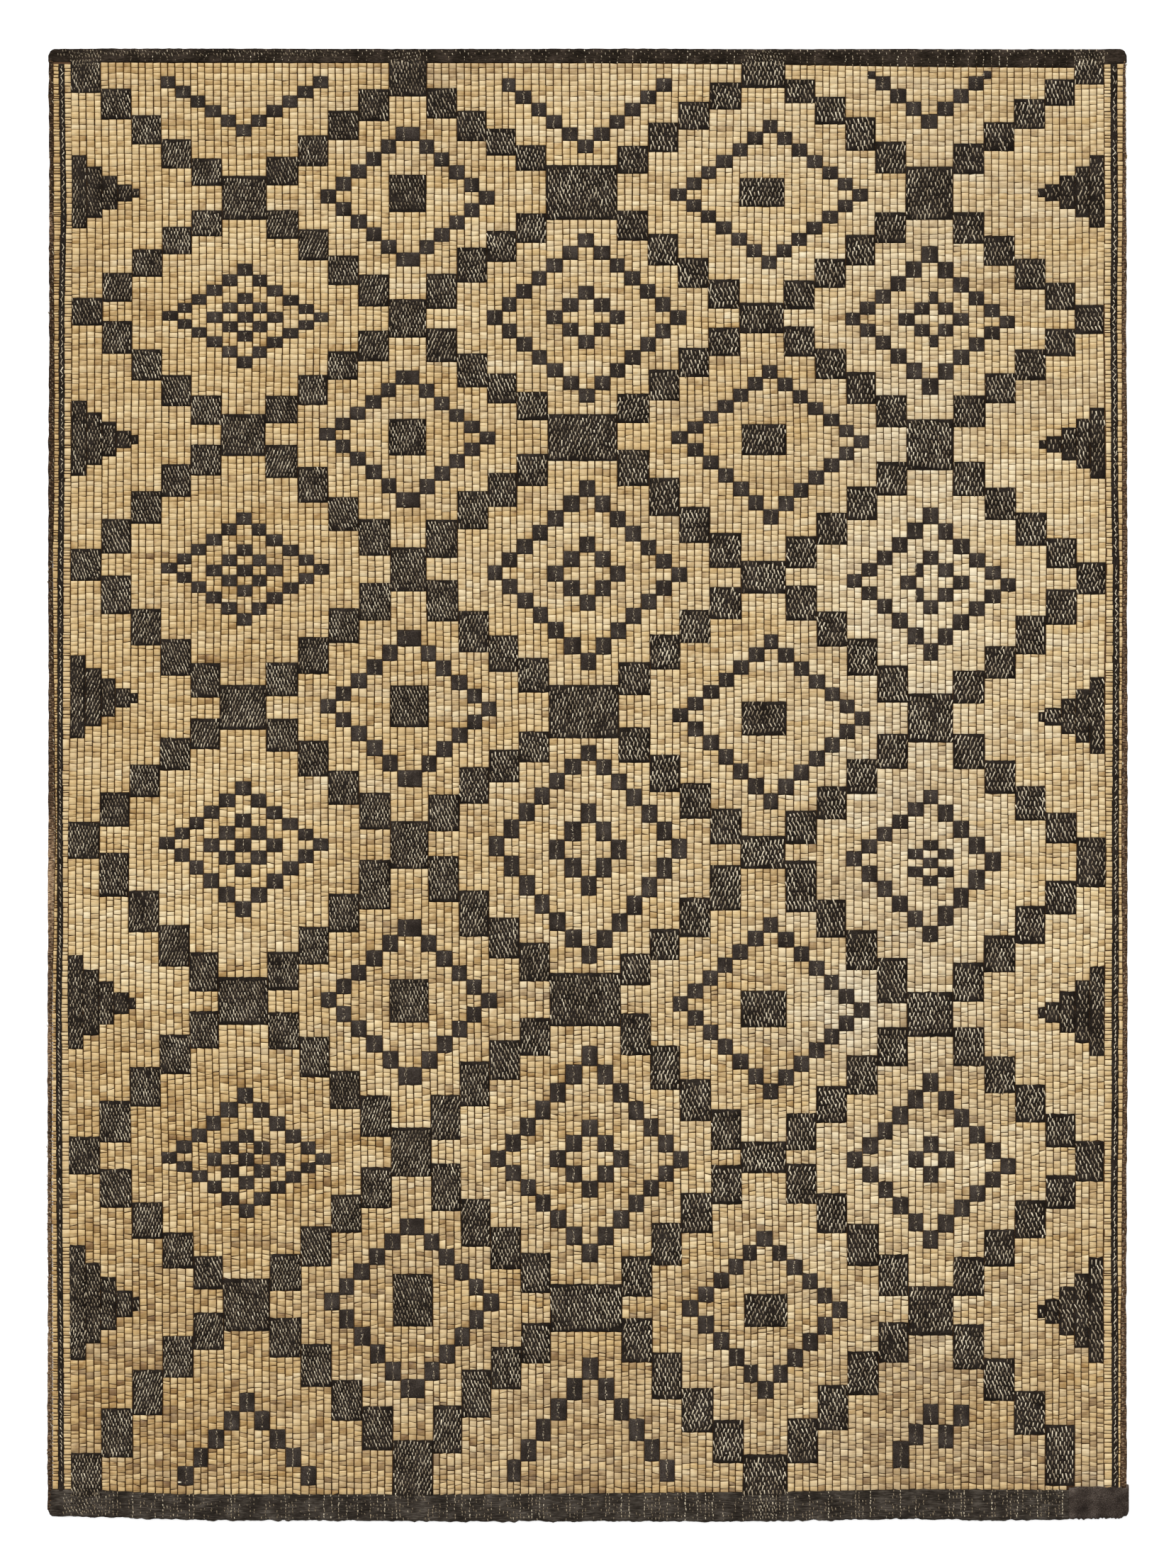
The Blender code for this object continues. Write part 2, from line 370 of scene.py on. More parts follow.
def thong_places(down):
    """Across, in mm, of every thong at each place down: groups' edges with even columns between.

    The last group bows to the right by a half wave, with its middle thongs furthest out.
    """
    edges = np.array([read_at(GROUP_EDGES, name, down) for name in list(GROUP_EDGES)[1:]])
    first = np.concatenate(([0], np.cumsum(GROUP_COLUMNS)))
    pattern = np.array([np.interp(np.arange(PATTERN_COLUMNS + 1), first, column) for column in edges.T])
    side = GROUP_COLUMNS[-1]
    pattern[:, -side - 1:] += RIGHT_BOW * np.sin(np.pi * np.arange(side + 1) / side)
    left = read_at(SELVEDGES, "left_cord", down) + LEFT_CORD_HALF
    right = read_at(SELVEDGES, "right_cord", down) - RIGHT_CORD_HALF
    return np.column_stack((left, pattern, right))


share = reed_shares()
line_down = PANEL_HEAD + share * (PANEL_FOOT - PANEL_HEAD)
thong_across = thong_places(line_down)
print("thongs, by reed lines:", thong_across.shape)

# %% Lines between reeds
THONG_BENDS = ((0.45, (30, 0.4)), (0.25, (4, 0)))
SHARED_BEND = 1.3
COLUMN_DRIFT = (0.35, 2.4)
LINE_JITTER = (0.45, 0.65)
TOP_CORNER = ((90, 90), (260, 420))
TOP_SLOPE = 0.055
LEAST_REED = 3.4


def rising(place, start, finish):
    """0 up to the start and 1 from the finish on, with a straight rise between; the finish may come first."""
    return np.clip((place - start) / (finish - start), 0, 1)


def soft_spot(across, down, middle, reach):
    """One at the middle, falling away as a bell over the reach, both in mm."""
    return np.exp(-((across - middle[0]) / reach[0]) ** 2 - ((down - middle[1]) / reach[1]) ** 2)


def slackened(size):
    """From a pair of numbers: the first near the head, and more by the second where the lacing slipped."""
    return size[0] + size[1] * to_foot


def keep_order(lines):
    """Lines in order with a least distance, stretched back to the same two ends."""
    gaps = np.maximum(np.diff(lines, axis=0), LEAST_REED)
    gaps *= (foot_line[-1] - head_line[0]) / gaps.sum(axis=0)
    return head_line[0] + np.concatenate((np.zeros((1, lines.shape[1])), np.cumsum(gaps, axis=0)))


for size, span in THONG_BENDS:
    thong_across += size * smooth_noise(thong_across.shape, span)
column_middle = 0.5 * (thong_across[:, 1:] + thong_across[:, :-1])
head_line = read_at(FIELD_ENDS, "head", column_middle)
foot_line = read_at(FIELD_ENDS, "foot", column_middle)
lines = head_line + share[:, None] * (foot_line - head_line)

to_foot = rising(line_down, 700, 1600)[:, None]
lines += SHARED_BEND * smooth_noise(lines.shape, (7, 16))
lines += slackened(COLUMN_DRIFT) * smooth_noise(lines.shape, (2.2, 0.4))
lines += slackened(LINE_JITTER) * RANDOM.standard_normal(lines.shape)
lines += TOP_SLOPE * (column_middle - TOP_CORNER[0][0]) * soft_spot(column_middle, lines, *TOP_CORNER)
lines = keep_order(lines)
print("reed lines:", lines.shape, "mean reed, in mm:", round(float(np.diff(lines, axis=0).mean()), 2))

# %% [markdown]
# ## The lattice
# The lattice is a rule rather than a picture. It crosses itself in seven groups of columns, at the places
# down the mat that this table gives as a top and an end. Between two crossings it steps across four
# blocks, each four columns wide, and each group of steps has its own habit, kept the whole way down: where
# every block starts and ends, as shares of the drop between the two crossings. In seven places the lacing
# has slipped up or down, most in the middle of the place and less towards its ends.

# %% Lattice crossings and steps
CROSSINGS = {
    "left": (0, 4, ((84, 132), (421, 460), (775, 820), (1160, 1212), (1604, 1657), (2050, 2112))),
    "first": (20, 26, ((249, 311), (585, 644), (967, 1030), (1379, 1446), (1804, 1878))),
    "second": (42, 47, ((84, 137), (423, 477), (773, 835), (1159, 1226), (1591, 1660), (2032, 2112))),
    "third": (63, 72, ((234, 311), (585, 651), (967, 1042), (1373, 1448), (1812, 1879))),
    "fourth": (88, 94, ((84, 125), (428, 471), (792, 838), (1180, 1226), (1611, 1655), (2052, 2112))),
    "fifth": (110, 116, ((236, 311), (592.5, 664), (979, 1048), (1400, 1463), (1815, 1884))),
    "right": (132, 136, ((84, 120), (431, 472), (794, 839), (1182, 1252), (1610, 1667), (2055, 2112))),
}
STEPS = (
    ("left", "first", 4, ((-0.05, 0.32), (0.27, 0.62), (0.56, 0.91), (0.79, 1.12))),
    ("first", "second", 26, ((-0.12, 0.24), (0.12, 0.51), (0.45, 0.82), (0.69, 1.09))),
    ("second", "third", 47, ((-0.12, 0.32), (0.21, 0.65), (0.47, 0.86), (0.71, 1.08))),
    ("third", "fourth", 72, ((-0.11, 0.25), (0.17, 0.55), (0.46, 0.82), (0.72, 1.07))),
    ("fourth", "fifth", 94, ((-0.08, 0.27), (0.18, 0.53), (0.45, 0.82), (0.72, 1.09))),
    ("fifth", "right", 116, ((-0.09, 0.28), (0.19, 0.54), (0.46, 0.82), (0.74, 1.06))),
)
STEP_COLUMNS = 4
# Each slip: the first and last column, its middle down the mat, its reach, and how far the lacing moved.
SLIPS = (
    (4, 20, 1940, 100, -10.5),
    (26, 42, 1275, 45, 10),
    (72, 88, 1285, 62, 19),
    (94, 110, 165, 45, -9),
    (94, 110, 1272, 45, 14),
    (94, 110, 1950, 80, -9),
    (116, 132, 910, 60, 9),
)
LONGEST_DROP = 230
# The last crossing on the right was never worked: it only guides the steps, and the last step runs on.
UNWORKED_BELOW = 2000
LAST_STEP_COLUMN = 128
LAST_STEP_BELOW = 2040
LAST_STEP_END = 2096
blocks = []


def add_block(kind, first, last, top, end):
    """Notes one leather block: its kind, its first and last thong in pattern columns, its top and end."""
    blocks.append((kind, first, last, top, end))


def slipped(column, down):
    """A place down, moved by each slip in that column: a bell about the slip's middle, over its reach."""
    moves = [move * math.exp(-((down - middle) / reach) ** 2)
             for first, last, middle, reach, move in SLIPS if first <= column < last]
    return down + sum(moves)


for name, (first, last, spans) in CROSSINGS.items():
    for top, end in spans:
        if name != "right" or top <= UNWORKED_BELOW:
            add_block("crossing", first, last, top, end)

for start, finish, first_column, habit in STEPS:
    for top, end in CROSSINGS[start][2]:
        for next_top, next_end in CROSSINGS[finish][2]:
            drop = next_top - end
            rise = top - next_end
            if not (0 < drop < LONGEST_DROP or 0 < rise < LONGEST_DROP):
                continue
            for step, (near, far) in enumerate(habit):
                column = first_column + STEP_COLUMNS * step
                if drop > 0:
                    step_top, step_end = end + near * drop, end + far * drop
                else:
                    step_top, step_end = top - far * rise, top - near * rise
                if column == LAST_STEP_COLUMN and step_end > LAST_STEP_BELOW:
                    step_end = LAST_STEP_END
                add_block("step", column, column + STEP_COLUMNS,
                          slipped(column, step_top), slipped(column, step_end))
print("crossings and steps:", len(blocks))

# %% [markdown]
# ## Diamonds, chevrons and side triangles
# Inside every mesh of the lattice a diamond is drawn with small blocks two columns wide, one to a row. A
# diamond is given by its axis, the rows from its point to its widest row on the left and on the right, the
# places of its first, widest and last rows, how far its rows crowd towards the widest one, and how much its
# right point hangs lower and its left point higher than its axis. What stands inside is a checker, a ring
# or a solid oblong, with its own middle and row height (half its height for an oblong). Half diamonds, drawn
# as chevrons, open at the head and the foot, and stepped triangles stand against both sides.

# %% Diamonds
DIAMONDS = (
    (23, 5, 5, (381.5, 447.5, 512), 3, 1, "checker", (448.5, 13.3)),
    (23, 5, 5, (732.5, 803, 874.5), 2, 1, "checker", (805.5, 14.3)),
    (23, 5, 5, (1112.5, 1191, 1283), 3, 1, "checker", (1193, 17.4)),
    (23, 5, 5, (1546, 1634.5, 1708.5), 4, 1, "checker", (1636, 16.4)),
    (44.5, 5, 5, (190, 279, 367), 0, 1, "five wide", (273.8, 26.3)),
    (44.5, 5, 5, (533.5, 616, 706), 2.5, 2.7, "five wide", (617.5, 25.7)),
    (44.5, 5, 5, (901, 999, 1099), 2.5, 2, "five wide", (997, 29.3)),
    (44.5, 5, 5, (1309.5, 1411.5, 1518.5), 2.5, 0.5, "five wide", (1412.5, 30.5)),
    (44.5, 5, 5, (1731, 1837, 1959), 0, 0.5, "five wide", (1834.5, 36.8)),
    (68, 6, 6, (340, 449, 559), -1, 0, "ring", (448.5, 17.3)),
    (68, 6, 6, (690, 810, 934), 3, 1.2, "ring", (810, 20.5)),
    (68, 6, 6, (1063, 1196, 1347.5), -5, 1.8, "ring", (1199, 25.6)),
    (68, 6, 6, (1490, 1635.5, 1768), 4, 0.6, "ring", (1635, 21.5)),
    (92, 6, 6, (179.5, 276, 371), 1, 0.4, "six wide", (272.3, 20.2)),
    (92, 6, 6, (525.5, 621, 730), 2.5, 3, "six wide", (621, 21.8)),
    (92, 6, 6, (906, 1012, 1131), 2, 2.4, "six wide", (1014.3, 23.8)),
    (92, 6, 6, (1305.5, 1421, 1540), 1, 4.5, "six wide", (1423.8, 25.6)),
    (91, 5, 5, (1748, 1847, 1961), 0, 1, "six wide", (1849, 23)),
    (113, 5, 5, (360, 453, 546), 5, 2.1, "off ring", (451.5, 15.3)),
    (113, 5, 5, (728.5, 823, 920.5), 4.5, 2.8, "narrow ring", (822.5, 17.4)),
    (113, 5, 4, (1125, 1214, 1318), 0, 2, "small checker", (1218, 12.5)),
    (113, 5, 5, (1527.5, 1641, 1749), 3, 4.5, "small ring", (1636, 21)),
)
INSIDES = {
    "checker": (((-5, -3), (-1, 1), (3, 5)), ((-3, -1), (1, 3)), ((-1, 1),)),
    "small checker": (((-1, 1),), ((-3, -1), (1, 3)), ((-1, 1),)),
    "ring": (((-5, -3), (3, 5)), ((-3, -1), (1, 3)), ((-1, 1),)),
    "off ring": (((-4, -2), (3, 5)), ((-2, 0), (1, 3)), ((0, 1),)),
    "narrow ring": (((-4, -2), (3, 5)), ((-2, -1), (1, 3)), ((-1, 1),)),
    "small ring": (((-3, -1), (1, 3)), ((-1, 1),)),
}
OBLONGS = {"five wide": (42, 47), "six wide": (88, 94)}
ROW_LAP = 2.0


def add_small(axis, level, middle, height, columns=2):
    """A small block at a level, which counts steps from the axis: to the right above 0, to the left below."""
    half = axis % 1
    top = middle - height / 2
    end = middle + height / 2
    near = 2 * abs(level) - 1 + half
    if level == 0:
        add_block("small", int(axis - 1 - half), int(axis + 1 + half), top, end)
    elif level > 0:
        add_block("small", int(axis + near), int(axis + near + columns), top, end)
    else:
        add_block("small", int(axis - near - columns), int(axis - near), top, end)


def add_pair(axis, level, middle, height, columns=2):
    """Two small blocks, one each side of the axis at a level, or one across it at level 0."""
    for side in (1, -1) if level else (1,):
        add_small(axis, side * level, middle, height, columns)


for axis, left, right, places, pull, slant, inside, (inside_middle, inside_pitch) in DIAMONDS:
    for side, widest in ((-1, left), (1, right)):
        rows = np.arange(2 * widest + 1)
        levels = widest - np.abs(rows - widest)
        middles = np.interp(rows, (0, widest, 2 * widest), places)
        middles = middles - pull * np.sin(np.pi * (rows - widest) / widest)
        heights = np.gradient(middles) + ROW_LAP
        middles = middles + side * slant * levels / widest
        for level, middle, height in zip(levels, middles, heights):
            if level or side < 0:
                add_small(axis, side * level, middle, height)
    inner_rows = INSIDES.get(inside, ())
    half = (inside_pitch + ROW_LAP) / 2
    for row in range(1 - len(inner_rows), len(inner_rows)):
        middle = inside_middle + row * inside_pitch
        for near, far in inner_rows[abs(row)]:
            add_block("small", int(axis) + near, int(axis) + far, middle - half, middle + half)
    if inside in OBLONGS:
        add_block("oblong", *OBLONGS[inside], inside_middle - inside_pitch, inside_middle + inside_pitch)
print("blocks so far:", len(blocks))

# %% Chevrons and side triangles
# Each chevron: its axis, the middle of its point, the step from level to level, the levels, a block's height.
CHEVRONS = (
    (23, 185.0, -13.6, 6, 17),
    (68, 207.5, -17.3, 6, 19),
    (113, 172.5, -18.0, 4, 20),
    (23, 1978.5, 25.9, 5, 27),
    (68, 1931.0, 28.8, 6, 31),
)
CHEVRON_TIPS = (113, 4, 107, 11)
UNFINISHED_HALF = ((112, 114, 1981, 2010), (116, 118, 1982, 2012), (110, 112, 2009, 2039),
                   (114, 116, 2010, 2043), (108, 110, 2033, 2071))
for axis, middle, pitch, levels, height in CHEVRONS:
    for level in range(levels):
        add_pair(axis, level, middle + pitch * level, height)
add_pair(*CHEVRON_TIPS, columns=1)
for first, last, top, end in UNFINISHED_HALF:
    add_block("small", first, last, top, end)

# Each step of a triangle: its first and last column from the side, and its share of the triangle's height.
TRIANGLE_STEPS = ((0, 2, 1.0), (2, 4, 0.70), (4, 6, 0.46), (6, 8, 0.23), (8, 9, 0.12))
POINT_DROP = 2.2
LEFT_TRIANGLES = ((220, 323), (566, 672), (925, 1042), (1348, 1480), (1757, 1919))
RIGHT_TRIANGLES = ((220, 322), (576, 676), (956, 1064), (1364, 1490), (1774, 1923))
for first, last, reach in TRIANGLE_STEPS:
    for spans, near, far in ((LEFT_TRIANGLES, first, last),
                             (RIGHT_TRIANGLES, PATTERN_COLUMNS - last, PATTERN_COLUMNS - first)):
        for top, end in spans:
            middle = (top + end) / 2 + POINT_DROP * (1 - reach)
            half = reach * (end - top) / 2
            add_block("triangle", near, far, middle - half, middle + half)
print("leather blocks in all:", len(blocks))

# %% [markdown]
# ## Fitting the reeds to the leather
# A leather block starts and ends where two reeds meet. So the nearest line of each column that a block
# covers is moved to the block's edge, and the cells under it are marked as covered and left out. The first
# and last columns of cells, beside the cords, come before and after the pattern's own.

# %% Lines moved to the blocks' edges
covered = np.zeros((REED_COUNT, PATTERN_COLUMNS + 2), bool)
for _, first, last, top, end in blocks:
    for column in range(first + 1, last + 1):
        upper = int(np.abs(lines[:, column] - top).argmin())
        lower = max(int(np.abs(lines[:, column] - end).argmin()), upper + 1)
        lower = min(lower, REED_COUNT)
        lines[upper, column] = top
        lines[lower, column] = end
        covered[upper:lower, column] = True
print("share of the cells under leather:", round(float(covered.mean()), 3))

# %% [markdown]
# ## Split reed
# Split reed is dry, straw coloured and satin: a hard outer skin with fine fibres along its length. Its
# tone changes from reed to reed and from cell to cell, and handling has greyed parts of it, so two values
# on the mesh, tone and grey, carry that and the material adds only the fibres. Fibres are about 0.4 mm
# apart in the real thing; they are drawn 1 mm apart here so that they show.

# %% Material of split reed
FIBRE_SIZE = (26.0, 1.0)
FIBRE_STRENGTH = 0.34
CRACK_SIZE = (16.0, 0.8)
CRACK_DEPTH = 0.30
BLOTCH_SIZE = 6.25
BLOTCH_STRENGTH = 0.16


def along_reeds(material, place, size, detail, roughness):
    """Noise drawn out along the reeds, from its length and width in mm."""
    scale = (1 / (size[0] * MM), 1 / (size[1] * MM), 1 / (size[0] * MM))
    stretched = add_node(material, "ShaderNodeMapping", {"Vector": place, "Scale": scale})
    return add_node(material, "ShaderNodeTexNoise", {
        "Vector": stretched.outputs["Vector"], "Scale": 1.0, "Detail": detail, "Roughness": roughness})


def reed_material():
    """Split dry reed: a tone ramp, greyed by wear, with long fibres and brown hair cracks, and relief."""
    material, shader = new_material("split dry reed", 0.55, 1.48)
    place = add_node(material, "ShaderNodeTexCoord").outputs["Object"]
    tone = add_node(material, "ShaderNodeAttribute", attribute_name="tone").outputs["Fac"]
    grey = add_node(material, "ShaderNodeAttribute", attribute_name="grey").outputs["Fac"]
    fibre = along_reeds(material, place, FIBRE_SIZE, 3.0, 0.6)
    crack = along_reeds(material, place, CRACK_SIZE, 1.0, 0.5)
    blotch = add_node(material, "ShaderNodeTexNoise", {
        "Vector": place, "Scale": 1 / (BLOTCH_SIZE * MM), "Detail": 2.0})
    fibred = add_node(material, "ShaderNodeMath", {0: fibre.outputs["Fac"], 1: FIBRE_STRENGTH, 2: tone},
                      operation="MULTIPLY_ADD")
    mixed = add_node(material, "ShaderNodeMath", {
        0: blotch.outputs["Fac"], 1: BLOTCH_STRENGTH, 2: fibred.outputs[0]}, operation="MULTIPLY_ADD")
    noise_mean = 0.5 * (FIBRE_STRENGTH + BLOTCH_STRENGTH)
    cracked = add_node(material, "ShaderNodeMapRange", {
        "Value": crack.outputs["Fac"], "From Min": 0.60, "From Max": 0.70,
        "To Min": noise_mean, "To Max": noise_mean + CRACK_DEPTH})
    centred = add_node(material, "ShaderNodeMath", {0: mixed.outputs[0], 1: cracked.outputs[0]},
                       operation="SUBTRACT")
    warm = fill_ramp(add_node(material, "ShaderNodeValToRGB", {"Fac": centred.outputs[0]}),
                     (0.0, "#694820"), (0.25, "#9C7942"), (0.5, "#C4A671"), (0.75, "#D6BF91"),
                     (1.0, "#E8D9B2"))
    worn = fill_ramp(add_node(material, "ShaderNodeValToRGB", {"Fac": centred.outputs[0]}),
                     (0.0, "#6B5740"), (0.5, "#BEAA87"), (0.75, "#DACCAD"), (1.0, "#E8DEC6"))
    base = add_node(material, "ShaderNodeMix", {"Factor": grey, "A": warm, "B": worn}, data_type="RGBA")
    material.node_tree.links.new(base.outputs["Result"], shader.inputs["Base Color"])
    relief = add_node(material, "ShaderNodeBump", {
        "Height": fibre.outputs["Fac"], "Strength": 0.35, "Distance": 0.3 * MM})
    material.node_tree.links.new(relief.outputs["Normal"], shader.inputs["Normal"])
    return material


split_reed = reed_material()

# %% [markdown]
# ## Reed cells
# Between two thongs a reed shows as a small cell: a flat crown that falls away to the thong on each side
# and to the next reed. Each cell is a closed box of eight points, narrower at the crown, and its corners
# have their own gaps, since a thong pulls the reeds apart by uneven amounts. That leaves the thin,
# tapering dark slits of the real lacing. About 22,000 cells share one mesh rule. Their tone and greyness are
# seeded noise, which varies more towards the foot, and a few fades and soft spots where the mat has worn.
# Each cell's foot ring also gets a browner tone, which is painted shade in the joints between cells.

# %% Boxes for reed cells
CELL_FOOT = 4.9
CELL_CREST = 5.5
CREST_INSET = (0.50, 0.30)
# Painted shade: the tone drops by this much on each cell's foot ring, so the slopes darken into the joints.
EDGE_PAINTED_SHADE = 0.38
CORNER_SPREAD = 0.07
BOX_FACES = np.array([(0, 1, 5, 4), (1, 2, 6, 5), (2, 3, 7, 6), (3, 0, 4, 7), (4, 5, 6, 7), (3, 2, 1, 0)])


def tapered_boxes(left, right, upper, lower, crest):
    """Closed boxes from arrays: left and right are (n,), upper and lower are (n, 2) for the two sides.

    The foot ring is the cell's outline, and the crest ring is the same outline drawn in by the inset, or by
    less than that down the mat where the cell is low.
    """
    ring_across = np.stack((left, right, right, left), axis=1)
    ring_down = np.stack((lower[:, 0], lower[:, 1], upper[:, 1], upper[:, 0]), axis=1)
    across_in = CREST_INSET[0] * np.array([1, -1, -1, 1])
    down_in = CREST_INSET[1] * np.array([-1, -1, 1, 1])
    narrow = np.minimum(1.0, (ring_down[:, :1] - ring_down[:, 3:]) / (3 * CREST_INSET[1]))
    low = to_mat(ring_across, ring_down, CELL_FOOT)
    high = to_mat(ring_across + across_in, ring_down + down_in * narrow, crest)
    points = np.concatenate((low, high), axis=1)
    faces = BOX_FACES[None] + 8 * np.arange(len(points))[:, None, None]
    return points.reshape(-1, 3), faces.reshape(-1, 4)


def edged(tone):
    """A cell's tone for its eight points: uneven corners, and browner on the foot ring, as painted shade in
    the joints between cells.
    """
    tones = tone[:, None] + CORNER_SPREAD * RANDOM.standard_normal((len(tone), 8))
    return (tones - EDGE_PAINTED_SHADE * (np.arange(8) < 4)).ravel()


# %% Tone and greyness of each cell
REED_TONE = 0.565
TONE_SPREAD = (0.065, 0.035)
CHANCE_SHAPE = 3
DARKEST_CHANCE = -2.2
# Each fade: where it starts and finishes, in mm, and the tone that it adds.
FADES_DOWN = ((1000, 1200, -0.03), (1650, 2000, -0.12))
FADES_ACROSS = ((1000, 1200, 0.02), (300, 100, -0.04))
LOWER_LEFT_FADE = -0.02
HEAD_SHADE = (92, 14, 950, -0.12)
# Each soft spot: its middle across and down, its reach across and down, in mm, and what it adds.
TONE_SPOTS = (
    (330, 700, 350, 500, -0.02),
    (520, 1930, 150, 90, -0.03),
    (1280, 1150, 150, 250, 0.02),
    (1198, 1420, 36, 48, 0.12),
)
GREY_SPOTS = (
    (1280, 1000, 150, 900, 0.45),
    (1540, 2086, 25, 18, 0.60),
    (1198, 1420, 36, 48, 0.90),
)


def spots_at(spots, across, down):
    """The sum of a table's soft spots at each place."""
    return sum(amount * soft_spot(across, down, (middle, low), (reach, reach_down))
               for middle, low, reach, reach_down, amount in spots)


def fades_at(fades, place):
    """The sum of a table's fades at each place across or down."""
    return sum(amount * rising(place, start, finish) for start, finish, amount in fades)


cell_across = column_middle[:-1]
cell_down = 0.5 * (lines[:-1] + lines[1:])
chance = (CHANCE_SHAPE - RANDOM.gamma(CHANCE_SHAPE, 1.0, covered.shape)) / math.sqrt(CHANCE_SHAPE)
reed_tone = REED_TONE + slackened(TONE_SPREAD)[:-1] * np.maximum(chance, DARKEST_CHANCE)
reed_tone += 0.05 * smooth_noise(covered.shape, (0.3, 3)) + 0.03 * smooth_noise(covered.shape, (9, 9))
reed_tone += fades_at(FADES_DOWN, cell_down) + fades_at(FADES_ACROSS, cell_across)
reed_tone += LOWER_LEFT_FADE * rising(cell_down, 900, 1100) * rising(cell_across, 700, 200)
reed_tone += spots_at(TONE_SPOTS, cell_across, cell_down)
shade_middle, shade_reach, shade_right, shade = HEAD_SHADE
reed_tone += shade * np.exp(-((cell_down - shade_middle) / shade_reach) ** 2) * (cell_across < shade_right)

reed_grey = 0.02 + 0.20 * rising(cell_across, 300, 600) + 0.14 * rising(cell_down, 1650, 2000)
reed_grey += spots_at(GREY_SPOTS, cell_across, cell_down)
reed_grey += 0.14 * smooth_noise(covered.shape, (0.4, 4)) + 0.05 * RANDOM.standard_normal(covered.shape)
reed_grey = np.clip(reed_grey, 0, 1)
print("mean tone and greyness:", round(float(reed_tone.mean()), 3), round(float(reed_grey.mean()), 3))

# %% Reed cells
SLIT_LEAST = (0.02, 0.04)
SLIT_MORE = (0.11, 0.13)
NOTCH_SHARE = (0.05, 0.09)
NOTCH_LEAST = 0.3
NOTCH_MORE = 0.6
LINE_TILT = (0.14, 0.30)
LEAST_SHOWN = 1.6
LEAST_HEIGHT = 0.8
THONG_SLOT = 0.55
RIGHT_TIGHTER = 0.18
CREST_SPREAD = 0.16
slit = slackened(SLIT_LEAST)[:-1] + slackened(SLIT_MORE)[:-1] * RANDOM.random((4, *covered.shape)) ** 2
notched = RANDOM.random(slit.shape) < slackened(NOTCH_SHARE)[:-1]
slit = slit + notched * (NOTCH_LEAST + NOTCH_MORE * RANDOM.random(slit.shape))
tilt = slackened(LINE_TILT) * RANDOM.standard_normal(lines.shape)
left_line = lines + tilt
right_line = lines - tilt
shown = ~covered & (np.diff(lines, axis=0) > LEAST_SHOWN)
shown[:, [0, -1]] = False
row_number, column_number = np.nonzero(shown)
print("reed cells:", len(row_number))


def uneven_slots(slot):
    """Each slot beside a thong, from 0.6 to 1.4 times its size."""
    return slot * (0.6 + 0.8 * RANDOM.random(len(slot)))


def reed_piece(name, chosen):
    """One mesh of the cells whose numbers are chosen."""
    row = row_number[chosen]
    column = column_number[chosen]
    upper = np.stack((left_line[row, column] + slit[0, row, column],
                      right_line[row, column] + slit[1, row, column]), axis=1)
    lower = np.stack((left_line[row + 1, column] - slit[2, row, column],
                      right_line[row + 1, column] - slit[3, row, column]), axis=1)
    lower = np.maximum(lower, upper + LEAST_HEIGHT)
    slot = THONG_SLOT * (1 - RIGHT_TIGHTER * rising(cell_across[row, column], 900, 1200))
    left = thong_across[row, column] + uneven_slots(slot)
    right = thong_across[row, column + 1] - uneven_slots(slot)
    crest = CELL_CREST + CREST_SPREAD * RANDOM.standard_normal((len(row), 4))
    points, faces = tapered_boxes(left, right, upper, lower, crest)
    return add_piece(name, points, faces, "reed", split_reed, smooth=False,
                     tone=edged(reed_tone[row, column]), grey=np.repeat(reed_grey[row, column], 8))


thirds = (row_number * 3) // REED_COUNT
for third, name in enumerate(("head_reeds", "middle_reeds", "foot_reeds")):
    reed_piece(name, thirds == third)

# %% [markdown]
# ## Reed columns beside the cords
# A column of plain reed stands on each side of each twisted side cord: one as wide as the rest against the
# pattern, and a narrower, more orange one against the binding. The cord squeezes the reeds here, so
# their lines are closer than in the panel. It is the same tapered box, repeated down each side.

# %% Side columns
SIDE_HEAD = 91
SIDE_FOOT = 2101
SIDE_SLIT = (0.22, 0.7)
SIDE_CREST = CELL_CREST - 0.1


def edge(table, name, offset=0.0):
    """A function of down that gives one named line of a table plus an offset."""
    return lambda down: read_at(table, name, down) + offset


def side_column(name, left_of, right_of, pitch, tone, grey):
    """A column of small cells down the mat between two edges, each a function of down."""
    count = int(round((SIDE_FOOT - SIDE_HEAD) / pitch))
    heights = 0.45 + RANDOM.gamma(4.0, 0.25, count)
    shares = np.concatenate(([0.0], np.cumsum(heights))) / heights.sum()
    ends = SIDE_HEAD + (SIDE_FOOT - SIDE_HEAD) * shares
    upper = ends[:-1, None] + SIDE_SLIT[0] + SIDE_SLIT[1] * RANDOM.random((count, 2)) ** 2
    lower = ends[1:, None] - SIDE_SLIT[0] - SIDE_SLIT[1] * RANDOM.random((count, 2)) ** 2
    middle = 0.5 * (ends[1:] + ends[:-1])
    rough = 0.3 * RANDOM.standard_normal((2, count))
    points, faces = tapered_boxes(left_of(middle) + rough[0], right_of(middle) + rough[1], upper, lower,
                                  SIDE_CREST + 0.15 * RANDOM.standard_normal((count, 4)))
    tones = edged(tone + 0.07 * RANDOM.standard_normal(count))
    return add_piece(name, points, faces, "reed", split_reed, smooth=False,
                     tone=tones, grey=np.full(len(tones), grey))


side_column("left_narrow_reeds", edge(SELVEDGES, "left_binding", 0.5),
            edge(SELVEDGES, "left_cord", -LEFT_CORD_HALF), 4.9, 0.42, 0.02)
side_column("left_plain_reeds", edge(SELVEDGES, "left_cord", LEFT_CORD_HALF),
            edge(GROUP_EDGES, "weave_l", -0.5), 6.2, 0.52, 0.15)
side_column("right_plain_reeds", edge(GROUP_EDGES, "weave_r", 0.5),
            edge(SELVEDGES, "right_cord", -RIGHT_CORD_HALF), 6.6, 0.56, 0.15)
side_column("right_narrow_reeds", edge(SELVEDGES, "right_cord", RIGHT_CORD_HALF),
            edge(SELVEDGES, "right_binding", -0.5), 7.5, 0.50, 0.08)

